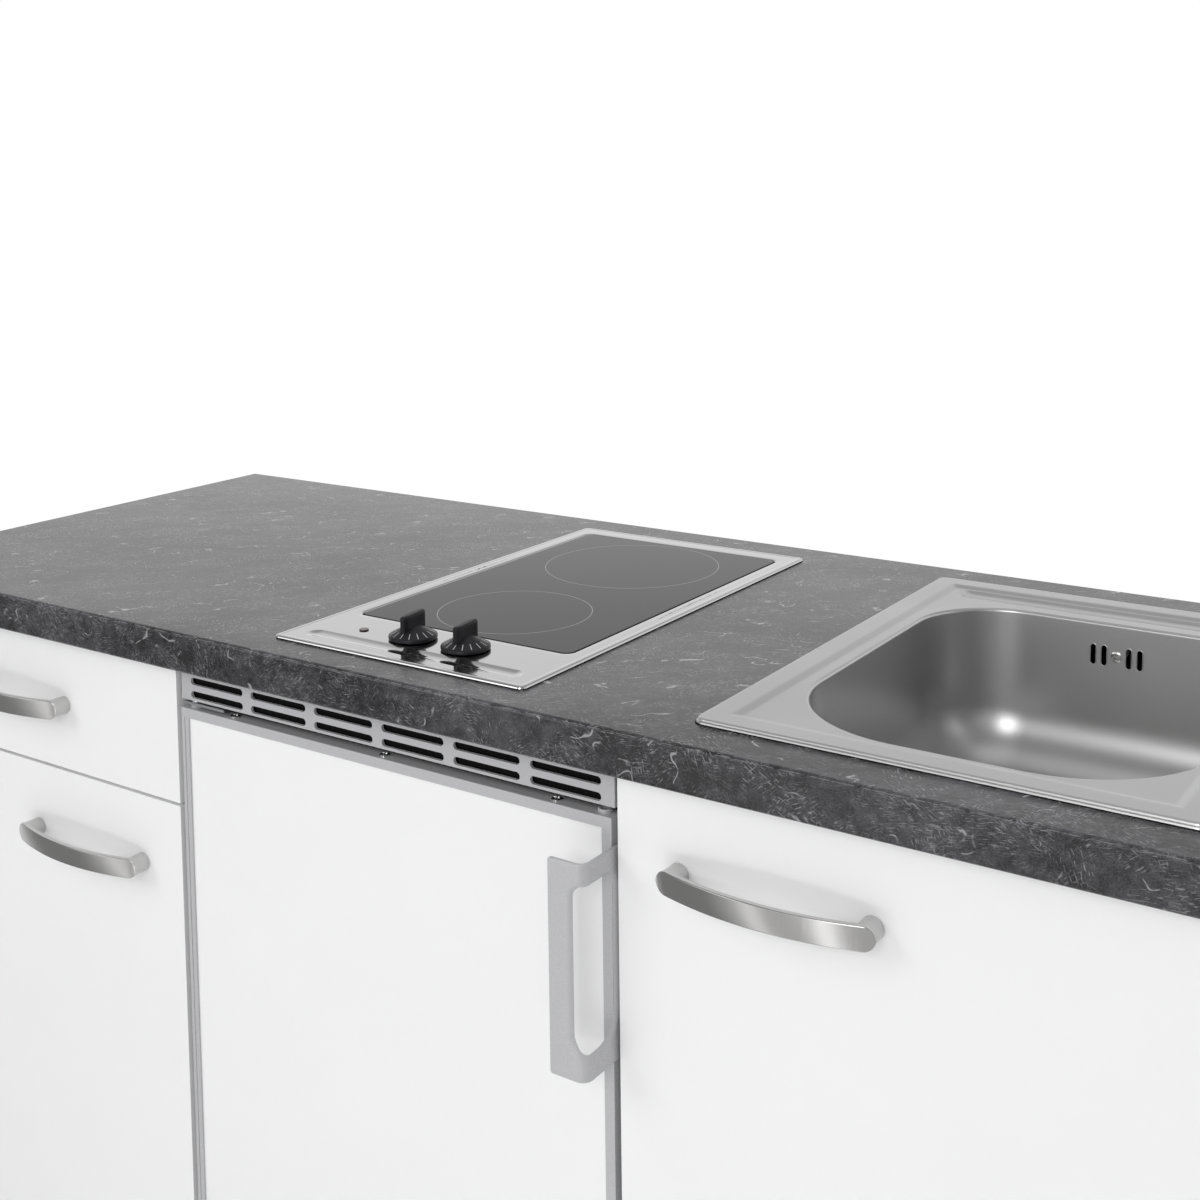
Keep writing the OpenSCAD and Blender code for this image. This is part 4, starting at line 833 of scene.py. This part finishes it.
def edge_seal(name, node, base, section):
    """Sealing strip along a rounded rectangle: a closed ring of (inset, height). The seal is
    real; its near-black is painted shade, for the line of shadow along the edge.
    """
    low, high = span(node)
    centre = ((low + high) / 2)[:2]
    corner = 8 * MM
    angles = rays(centre, [(low[:2], high[:2], corner, corner)], step=4)
    stations = rings_of(angles, centre, inset_outline(low, high, corner - MM), base, section)
    dark(name, surface(rings_grid(centre, angles, stations), True, True), node)


# Sections of the seals: under the edges of the hob frame and the sink, and round the hob's glass.
# Their near-black is painted shade along these edges.
UNDER_EDGE = ((0.3, 0.02), (0.2, 0.5), (0.4, 0.72), (7, 0.75), (7, 0.02))
ROUND_GLASS = ((-0.4, -3.2), (-0.4, -0.9), (0.1, -0.8), (0.65, -0.9), (0.65, -3.2))


def glass_shape():
    """Glass plate with rounded corners and a small chamfer, as rings closed at both ends."""
    low, high = span("hob_glass")
    centre = ((low + high) / 2)[:2]
    outline = inset_outline(low, high, sizes().glass_corner)
    angles = rays(centre, [outline(0)], step=3, corner_steps=14)
    stations = [(0, high[2]), *rings_of(angles, centre, outline, high[2], (
        (2.6, 0), (1.5, 0), (1.1, -0.1), (0.75, -0.45), (0.7, -0.9)))]
    stations += [*rings_of(angles, centre, outline, low[2], ((0.7, 0),)), (0, low[2])]
    return surface(rings_grid(centre, angles, stations), wrap_cols=True)


CONE_FOOT, CONE_HEAD = (21.3, 3.9), (12.5, 8.35)


def knob_shape(centre, base, height):
    """Turned skirt with a cone, and an upright fin: round-ended outlines stacked to a
    softly rounded top that falls a little towards the front."""
    skirt = np.array([
        (0, 0), (21.4, 0), (22.2, 0.2), (22.5, 0.8), (22.5, 2.7), (22.2, 3.3), CONE_FOOT,
        CONE_HEAD, (6.2, 11.7), (4.6, 12.4), (3, 12.7), (0, 12.8)]) * MM
    cone = turned(skirt, 72, "z", (*centre, base))
    angle = np.arange(64) * FULL_TURN / 64
    half_w, half_l = 4.25 * MM, 15.5 * MM
    across, along = (np.sign(v) * np.abs(v) ** 0.62 for v in (np.cos(angle), np.sin(angle)))
    levels = [(1.0, 2 * MM), (1.0, 6 * MM), (1.0, 12 * MM), (0.99, 18 * MM)]
    levels += [(1 - 0.42 * (1 - math.cos(a)), height - 2.6 * MM * (1 - math.sin(a)))
               for a in np.linspace(0.1, math.pi / 2, 7)]
    share, z = np.array([*levels, (0.0, height)]).T[..., None]
    x = across * half_w * share
    y = along * (half_l - np.where(share > 0, (1 - share) * half_w * 1.3, half_w))
    slant = (half_l - y) / (2 * half_l) * 1.6 * MM * np.minimum(1, z / height) ** 2
    return joined(cone, surface(
        grid_of(centre[0] + x, centre[1] + y, base + z - slant), wrap_cols=True))


def tick_shape(centre, base, count=15):
    """Tick marks on a knob's cone: thin bars that stand a hair above its surface."""
    half = sizes().tick / 2
    inner, outer = 14.6 * MM, 20.8 * MM
    (foot_r, foot_z), (head_r, head_z) = CONE_FOOT, CONE_HEAD

    def height(r):
        return foot_z * MM + (foot_r * MM - r) * (head_z - foot_z) / (foot_r - head_r)

    bars = []
    for angle in (np.arange(count) + 0.5) * FULL_TURN / count:
        out = np.array([math.cos(angle), math.sin(angle), 0])
        side = np.array([-out[1], out[0], 0])
        bar = np.array([out * r + side * w + [*centre, base + height(r)] for r, w in (
            (inner, -half), (outer, -half), (outer, half), (inner, half))])
        bars.append(prism(bar - [0, 0, 0.3 * MM], bar + [0, 0, 0.12 * MM]))
    return joined(*bars)


def build_knob(node):
    low, high = span(node)
    centre = (low[:2] + high[:2]) / 2
    piece(node + "_cap", knob_shape(centre, low[2], high[2] - low[2]), node, angle=50)
    ticks = tick_shape(centre, low[2])
    refinished(piece(node + "_cap_ticks", ticks, node, stands_for=False), "grey_seal")


# ---- handles


def bow_shape(node):
    """Band bent to an arc, with half-round ends: at each place along it a rounded
    rectangle stands across the band, as high as the half-round end allows. Two turned
    feet reach back to the front, and each has its screw behind."""
    s = sizes()
    low, high = span(node)
    middle = (low + high) / 2
    half_l, half_h = (high[0] - low[0]) / 2, (high[2] - low[2]) / 2
    thick, rise, foot_x, board = 5 * MM, 15 * MM, 80 * MM, 16 * MM
    radius = (half_l ** 2 + rise ** 2) / (2 * rise)
    ease = 0.10 * (1 - np.cos(np.linspace(0, math.pi / 2, 12)))
    along = half_l * np.concatenate([ease - 1, np.linspace(-0.88, 0.88, 49), 1 - ease[::-1]])
    from_end = np.clip((half_l - np.abs(along)) / half_h, 0, 1)
    height = half_h * np.sqrt(np.clip(1 - (1 - from_end) ** 2, 0, 1))[:, None]
    arc = (low[1] + radius - np.sqrt(radius ** 2 - along ** 2))[:, None]
    lean = (along / radius)[:, None]
    quarter = np.linspace(0, math.pi / 2, 5)
    turn = np.concatenate([quarter + k * math.pi / 2 for k in range(4)])
    side_y, side_z = np.repeat([(1, -1, -1, 1), (1, 1, -1, -1)], 5, axis=1)
    r = np.minimum(s.bow_edge, height * 0.6)
    depth = side_y * (thick / 2 - r) + np.cos(turn) * r
    up = side_z * (height - r) + np.sin(turn) * r
    grid = grid_of(middle[0] + along[:, None] - np.sin(lean) * depth,
                   arc + thick / 2 + np.cos(lean) * depth, middle[2] + up)
    parts = [surface(grid, wrap_cols=True)]
    face = span("drawer_front")[0][1]
    start = low[1] + radius - math.sqrt(radius ** 2 - foot_x ** 2) + thick * 0.6
    foot_r = s.bow_foot
    foot = [(0, start), (foot_r - 0.3 * MM, start), (foot_r, start + 0.6 * MM),
            (foot_r, face - 0.7 * MM), (foot_r - 0.2 * MM, face - 0.1 * MM),
            (foot_r - 0.6 * MM, face), (0, face)]
    screw = np.array([(0, 1.6), (2.6, 1.5), (3.8, 0.9), (4, 0.1), (4, 0), (1.9, 0)]) * MM
    screw = [*(screw + [0, face + board]), (1.9 * MM, face), (0, face)]
    for x in (middle[0] - foot_x, middle[0] + foot_x):
        parts += [turned(foot, 48, "y", (x, 0, middle[2])),
                  turned(screw, 24, "y", (x, 0, middle[2]))]
    return joined(*parts)


# ---- fridge


def grip_shape():
    """Bent grip, laid out flat as a rounded rectangle with an opening and then rolled:
    straight along the front plate, round the bend, straight along the leg. The rings run
    from the outer outline over the face to the opening's flare and back behind."""
    s = sizes()
    low, high = span("fridge_door_grip")
    bend_r, plate = 10 * MM, high[0] - low[0] - 10 * MM
    bend = bend_r * math.pi / 2
    full = plate + bend + high[1] - low[1] - bend_r
    hole_low = np.array([plate - 3 * MM, low[2] + 21 * MM])
    hole_high = np.array([plate + bend + 33 * MM, high[2] - 19 * MM])
    centre = (hole_low + hole_high) / 2
    outer_low, outer_high = np.array([0, low[2]]), np.array([full, high[2]])
    bottom_r, top_r = np.array([17, 25]) * MM, np.array([9, 13]) * MM

    def outer(inset):
        r = 2.5 * MM - 0.5 * inset
        return outer_low + inset, outer_high - inset, r, r

    def hole(out):
        return hole_low - out, hole_high + out, bottom_r + out, top_r + out

    angles = rays(centre, [outer(0), hole(0)], step=1.2, corner_steps=12)
    e = s.grip_edge
    rim = [(0, 0.5), (0, 0.36), (0.15, 0.22), (0.5, 0.08), (1.0, 0.0), (1.4, 0.0)]
    flare = [(4.6, 0.0), (3.7, 0.0), (2.5, 0.10), (1.3, 0.32), (0.5, 0.58), (0.0, 0.85),
             (0.2, 0.95), (0.6, 1.0)]
    stations = [(reach(angles, centre, *outer(inset * e)), depth) for inset, depth in rim]
    first, last = stations[-1][0], reach(angles, centre, *hole(flare[0][0] * e))
    stations += [(first * (1 - t) + last * t, 0.0) for t in np.linspace(0, 1, 7)[1:-1]]
    stations += [(reach(angles, centre, *hole(out * e)), depth) for out, depth in flare]
    first, last = stations[-1][0], reach(angles, centre, *outer(0.6 * e))
    stations += [(first * (1 - t) + last * t, 1.0) for t in np.linspace(0, 1, 7)[1:]]
    stations.append((reach(angles, centre, *outer(0.12 * e)), 0.9))
    r = np.stack([station[0] for station in stations])
    depth = np.array([station[1] for station in stations])[:, None]
    run, z = centre[0] + r * np.cos(angles), centre[1] + r * np.sin(angles)
    turn = np.clip((run - plate) / bend_r, 0, math.pi / 2)
    thick = (4 - turn / (math.pi / 2)) * MM
    straight, rest = np.minimum(run, plate), np.maximum(run - plate - bend, 0)
    x = low[0] + straight + (bend_r - depth * thick) * np.sin(turn)
    y = low[1] + bend_r - (bend_r - depth * thick) * np.cos(turn) + rest
    return surface(grid_of(x, y, z), True, True)


def screw_shape(centre, radius, height, facing="z"):
    """Domed screw head with a cross recess: a disc of rings whose height falls towards
    the edge and drops inside the cross."""
    rings = np.concatenate([np.linspace(0, 0.9, 16), [0.96, 1.0, 1.0]])[:, None]
    angle = np.arange(64) * FULL_TURN / 64
    x, y = rings * np.cos(angle), rings * np.sin(angle)
    narrow, wide = np.minimum(np.abs(x), np.abs(y)), np.maximum(np.abs(x), np.abs(y))
    cross = np.clip((0.17 - narrow) / 0.05, 0, 1) * np.clip((0.62 - wide) / 0.05, 0, 1)
    z = height * (np.sqrt(np.clip(1 - 0.75 * rings ** 2, 0, 1)) - 0.6 * cross)
    z[-1] = 0
    grid = grid_of(x * radius, y * radius, z)
    grid = np.concatenate([grid, 0 * grid[:1]])
    if facing == "-y":
        grid = grid[..., [0, 2, 1]] * [1, -1, 1]
    return surface(grid + np.asarray(centre), wrap_cols=True)


def grille_shade_shape():
    """Painted shade behind the grille's slots: a near-black sheet in shallow waves. Right of
    the place that the opening door passes, its lower edge runs back behind the door's top edge,
    as painted shadow in the gap below the grille."""
    low, high = span("fridge_grille")
    x = np.linspace(low[0] + 3 * MM, high[0] - 3 * MM, 241)
    # Here the lower edge drops into the gap above the door: painted shadow in that gap.
    drop = 7.8 * MM * smooth_step(x - low[0], 56 * MM, 64 * MM)
    foot = low[2] + 2 * MM - drop
    z = foot + (high[2] - 0.5 * MM - foot) * np.linspace(0, 1, 37)[:, None]
    face = low[1] + 4.6 * MM + 9 * MM * smooth_step(low[2] + 2 * MM - z, 0, 5 * MM)
    y = face + 0.5 * MM * np.sin(x * FULL_TURN / (8 * MM))
    return surface(grid_of(x, y, z))


def wires_shape():
    """Upright wires in front of and behind the condenser's tube: six-sided bars in rows."""
    low, high = span("fridge_condenser")
    tube_r, r = 2.5 * MM, sizes().wire / 2
    foot, head = low[2] + 130 * MM, high[2] - 2 * MM
    a = np.arange(6) * FULL_TURN / 6
    bars = []
    for side in (-1, 1):
        y = high[1] - tube_r + side * (tube_r + r * 0.6)
        for x in np.arange(low[0] + 10 * MM, high[0] - 9 * MM, 12 * MM):
            ring = grid_of(x + r * np.cos(a), y + r * np.sin(a), foot)
            bars.append(prism(ring, ring + [0, 0, head - foot]))
    return joined(*bars)


# ---- operators


class Piece:
    """What every operator here shares."""

    bl_options = {"REGISTER", "UNDO"}

    def execute(self, context):
        self.make()
        return {"FINISHED"}


class KITCHENETTE_OT_stage(Piece, bpy.types.Operator):
    """Floor, lamps, world and camera"""

    bl_idname = "kitchenette.stage"
    bl_label = "Stage"

    def make(self):
        build_world()
        build_floor()
        build_lamps()
        build_camera()


class KITCHENETTE_OT_worktop(Piece, bpy.types.Operator):
    """Worktop with its end bands"""

    bl_idname = "kitchenette.worktop"
    bl_label = "Worktop"

    def make(self):
        softened("worktop", 0)


class KITCHENETTE_OT_boards(Piece, bpy.types.Operator):
    """Doors, drawer front and the boards of the cabinets"""

    bl_idname = "kitchenette.boards"
    bl_label = "Boards"

    def make(self):
        edge = sizes().edge
        for node in ("left_door", "right_door", "drawer_front", "fridge_door_panel"):
            softened(node, edge)
        for node in ("left_outer_side", "left_inner_side", "right_inner_side", "right_outer_side",
                     "drawer_sides", "drawer_back", "cabinet_shelf"):
            softened(node, edge * 0.7, 2)
        softened("plinth_boards", edge * 0.7, 2, join=False)


class KITCHENETTE_OT_handles(Piece, bpy.types.Operator):
    """Bow handles of the drawer and the doors"""

    bl_idname = "kitchenette.handles"
    bl_label = "Bow handles"

    def make(self):
        for node in ("drawer_handle", "left_door_handle", "right_door_handle"):
            piece(node + "_bow", bow_shape(node), node, angle=40)


class KITCHENETTE_OT_fridge(Piece, bpy.types.Operator):
    """Fridge grille, door profiles, grip, screws and condenser wires"""

    bl_idname = "kitchenette.fridge"
    bl_label = "Fridge"

    def make(self):
        softened("fridge_grille", 0.5 * MM)
        softened("fridge_door_profiles", 0.45 * MM, join=False)
        piece("fridge_door_grip_bent", grip_shape(), "fridge_door_grip", angle=50)
        softened("fridge_door_gasket", 2 * MM, join=False)
        softened("thermostat_knob", 0.6 * MM)
        softened("thermostat_box", 2 * MM)
        softened("fridge_compressor", 2 * MM, 3, 40)
        low, high = span("fridge_door_screws")
        radius, middle_screw_x = (high[1] - low[1]) / 2, 754 * MM
        heads = [screw_shape((x, low[1] + radius, low[2]), radius, high[2] - low[2])
                 for x in (low[0] + radius, middle_screw_x, high[0] - radius)]
        piece("door_top_screws", joined(*heads), "fridge_door_screws")
        # Painted shade: a near-black sheet behind the grille's slots and in the gap above the door.
        thicken(dark("grille_shade_sheet", grille_shade_shape(), "fridge_grille"), 0.4 * MM)
        piece("condenser_wires", wires_shape(), "fridge_condenser", stands_for=False)


class KITCHENETTE_OT_hob(Piece, bpy.types.Operator):
    """Hob frame, glass, lamp and knobs"""

    bl_idname = "kitchenette.hob"
    bl_label = "Hob"

    def make(self):
        thicken(piece("hob_frame_sheet", hob_frame_shape(), "hob_frame", False), 0.6 * MM)
        # Seals under the frame's edge and round the glass; their near-black is painted shade.
        edge_seal("hob_seal_and_shade", "hob_frame", WORKTOP_HIGH[2], UNDER_EDGE)
        edge_seal("glass_seal_and_shade", "hob_glass", span("hob_glass")[1][2], ROUND_GLASS)
        piece("hob_glass_plate", glass_shape(), "hob_glass")
        softened("hob_lamp", 0.3 * MM)
        build_knob("front_zone_knob")
        build_knob("rear_zone_knob")


class KITCHENETTE_OT_sink(Piece, bpy.types.Operator):
    """Sink bowl, overflow screw and strainer"""

    bl_idname = "kitchenette.sink"
    bl_label = "Sink"

    def make(self):
        build_sink()
        x, y, z = overflow_middle()
        head = screw_shape((x, y + 1.3 * MM, z), 5 * MM, 1.3 * MM, "-y")
        piece("overflow_screw_head", head, "overflow_screw")
        softened("drain_strainer", 0.3 * MM, 2)
        softened("drain_and_trap", 0.5 * MM, 2)


class KITCHENETTE_OT_finishes(Piece, bpy.types.Operator):
    """Finish of every CAD node that is still shown"""

    bl_idname = "kitchenette.finishes"
    bl_label = "Finishes"

    def make(self):
        for name, node in frame["nodes"].items():
            node.data.materials.clear()
            node.data.materials.append(finish(SLOT_OF[name]))


# ---- stage


def build_world():
    """White for the camera, reflections and glass; a plain level for soft light."""
    world = bpy.data.worlds.new("studio")
    bpy.context.scene.world = world
    world.use_nodes = True
    nodes, links = world.node_tree.nodes, world.node_tree.links
    rays_seen = nodes.new("ShaderNodeLightPath").outputs
    white = rays_seen["Is Camera Ray"]
    for kind in ("Is Glossy Ray", "Is Transmission Ray"):
        either = nodes.new("ShaderNodeMath")
        either.operation = "MAXIMUM"
        links.new(white, either.inputs[0])
        links.new(rays_seen[kind], either.inputs[1])
        white = either.outputs[0]
    level = nodes.new("ShaderNodeMapRange")
    level.inputs["To Min"].default_value = 0.50
    level.inputs["To Max"].default_value = 1.0
    links.new(white, level.inputs["Value"])
    nodes["Background"].inputs["Color"].default_value = (1, 1, 1, 1)
    links.new(level.outputs["Result"], nodes["Background"].inputs["Strength"])


def build_floor():
    """Round floor whose outer part turns into the white surroundings."""
    disc = turned([(0, 0), (2.4, 0), (3.2, 0)], 96)
    floor = linked("floor", cleaned(new_mesh("floor", disc, 0)))
    tone = colours().floor
    f = Finish(Roughness=0.7)
    f.drive("Base Color", f.blend(f.noise(3, 2), shade(tone, 0.99), shade(tone, 1.01)))
    white = f.emission(1.0)
    share = f.calc("MULTIPLY", f.fit(f.distance(f.place), 1.3, 2.6),
                   f.node("LightPath", {}).outputs["Is Camera Ray"])
    f.surface(f.node("MixShader", {0: share, 1: f.shader.outputs[0], 2: white}).outputs[0])
    f.material.name = "floor"
    floor.data.materials.append(f.material)
    floor.visible_glossy = False


def lamp(name, place, target, size, power):
    """Soft rectangular lamp at a place, turned to a target."""
    data = bpy.data.lights.new(name, "AREA")
    data.shape, data.energy = "RECTANGLE", power
    data.size, data.size_y = size
    obj = linked(name, data)
    obj.location = place
    obj.rotation_euler = (Vector(target) - Vector(place)).to_track_quat("-Z", "Y").to_euler()
    obj.visible_camera = obj.visible_glossy = False


def glow(azimuth, elevation):
    """Brightness that metal sees in each direction, in degrees; azimuth 0 is in front of
    the unit and grows to its right. Behind: a white band up to a dim ceiling. In front:
    a soft box with a bright core and, below it, two bright stripes."""
    ceiling = smooth_step(elevation, 24, 38)
    overhead = 0.30 * smooth_step(elevation, 58, 74)
    band = 1.0 - 0.12 * smooth_step(elevation, 11, 18)
    behind = band * (1 - ceiling) + (0.45 + overhead) * ceiling
    box = window(azimuth, -46, 24, 12) + 0.5 * window(azimuth, 18, 64, 12)
    box = box * window(elevation, -10, 38, 11)
    core = window(azimuth, -7, 24, 10) * window(elevation, 2, 46, 16)
    flank = window(azimuth, -54, -26, 8) * window(elevation, -2, 28, 8)
    above = 0.26 + overhead * 1.5 + 0.55 * box + 5.0 * core + 1.5 * flank
    below = 0.27 + 0.30 * smooth_step(azimuth, -44, -30)
    for middle, width, level in ((-26, 3.4, 0.75), (-1, 3.6, 1.5)):
        below = below + level * np.exp(-((azimuth - middle) / width) ** 2)
    ahead = below + (above - below) * smooth_step(elevation, -3, 6)
    return ahead + (behind - ahead) * smooth_step(np.abs(azimuth), 70, 95)


def build_surround():
    """Sphere round the unit that only reflections see, as bright as glow() says."""
    azimuth, elevation = np.linspace(-180, 180, 181), np.linspace(-89, 89, 90)
    a, e = np.meshgrid(np.radians(azimuth), np.radians(elevation))
    points = grid_of(np.sin(a) * np.cos(e), -np.cos(a) * np.cos(e), np.sin(e))
    mesh = new_mesh("surround", surface(6.0 * points + [0.3, 0, 0.8]), 0)
    level = mesh.attributes.new("glow", "FLOAT", "POINT")
    level.data.foreach_set("value", glow(np.degrees(a), np.degrees(e)).ravel())
    f = Finish()
    f.surface(f.emission(f.node("Attribute", {}, attribute_name="glow").outputs["Fac"]))
    f.material.name = "surround"
    f.material.cycles.emission_sampling = "NONE"
    mesh.materials.append(f.material)
    card = linked("surround", mesh)
    card.visible_camera = card.visible_diffuse = card.visible_shadow = False
    card.visible_transmission = card.visible_volume_scatter = False


def build_lamps():
    lamp("key", (-2.0, -2.9, 2.7), (0, 0, 0.8), (1.8, 1.8), 30)
    lamp("front", (0.9, -3.0, 2.0), (0.1, 0, 0.7), (1.6, 1.2), 23)
    lamp("low", (0.2, -2.2, 0.12), (0, 0, 0.75), (2.0, 0.3), 6)
    lamp("top", (0.2, 0.4, 3.2), (0, 0.2, 0.8), (2.4, 1.6), 30)
    build_surround()


CAMERA_PLACE = (1.675321, -0.998565, 0.432359)
CAMERA_YAW, CAMERA_PITCH, CAMERA_ROLL = -0.59362, 0.08381, -0.01207
FOCAL_SHARE = 1607.65772 / 1200
SENSOR = 36.0
SHIFT_Y = -0.25


def build_camera():
    """Camera at the photograph's angle: yaw about the vertical, pitch down, then roll."""
    data = bpy.data.cameras.new("camera")
    data.sensor_width, data.lens = SENSOR, FOCAL_SHARE * SENSOR
    data.shift_y = SHIFT_Y
    obj = linked("camera", data)
    yaw, pitch, roll = CAMERA_YAW, CAMERA_PITCH, CAMERA_ROLL
    ahead = Vector((math.sin(yaw), math.cos(yaw), 0)) * math.cos(pitch)
    ahead -= Vector((0, 0, math.sin(pitch)))
    right = Vector((math.cos(yaw), -math.sin(yaw), 0))
    up = right.cross(ahead)
    level_right = math.cos(roll) * right + math.sin(roll) * up
    level_up = math.cos(roll) * up - math.sin(roll) * right
    turn = Matrix((level_right, level_up, -ahead)).transposed().to_4x4()
    place = Vector(CAMERA_PLACE) + Vector((*WORKTOP_LOW[:2], WORKTOP_HIGH[2]))
    obj.matrix_world = Matrix.Translation(place) @ turn
    bpy.context.scene.camera = obj


# ---- panel and main


class KITCHENETTE_PT_panel(bpy.types.Panel):
    """Sizes, colours and pieces of the kitchenette unit"""

    bl_idname = "KITCHENETTE_PT_panel"
    bl_label = "Kitchenette unit"
    bl_space_type = "VIEW_3D"
    bl_region_type = "UI"
    bl_category = "Kitchenette"

    def draw(self, context):
        for group in (sizes(), colours()):
            box = self.layout.box()
            for name in group.__annotations__:
                box.prop(group, name)
        for operator in OPERATORS:
            self.layout.operator(operator.bl_idname)


OPERATORS = (
    KITCHENETTE_OT_stage,
    KITCHENETTE_OT_worktop,
    KITCHENETTE_OT_boards,
    KITCHENETTE_OT_handles,
    KITCHENETTE_OT_fridge,
    KITCHENETTE_OT_hob,
    KITCHENETTE_OT_sink,
    KITCHENETTE_OT_finishes,
)
CLASSES = (KitchenetteSizes, KitchenetteColours, *OPERATORS, KITCHENETTE_PT_panel)


def register():
    for cls in CLASSES:
        bpy.utils.register_class(cls)
    bpy.types.Scene.kitchenette_sizes = bpy.props.PointerProperty(type=KitchenetteSizes)
    bpy.types.Scene.kitchenette_colours = bpy.props.PointerProperty(type=KitchenetteColours)


def unregister():
    del bpy.types.Scene.kitchenette_colours
    del bpy.types.Scene.kitchenette_sizes
    for cls in reversed(CLASSES):
        bpy.utils.unregister_class(cls)


def main():
    register()
    bpy.context.scene.view_settings.view_transform = "Standard"
    bpy.ops.kitchenette.stage()
    bpy.ops.kitchenette.worktop()
    bpy.ops.kitchenette.boards()
    bpy.ops.kitchenette.handles()
    bpy.ops.kitchenette.fridge()
    bpy.ops.kitchenette.hob()
    bpy.ops.kitchenette.sink()
    bpy.ops.kitchenette.finishes()


if __name__ == "__main__":
    main()
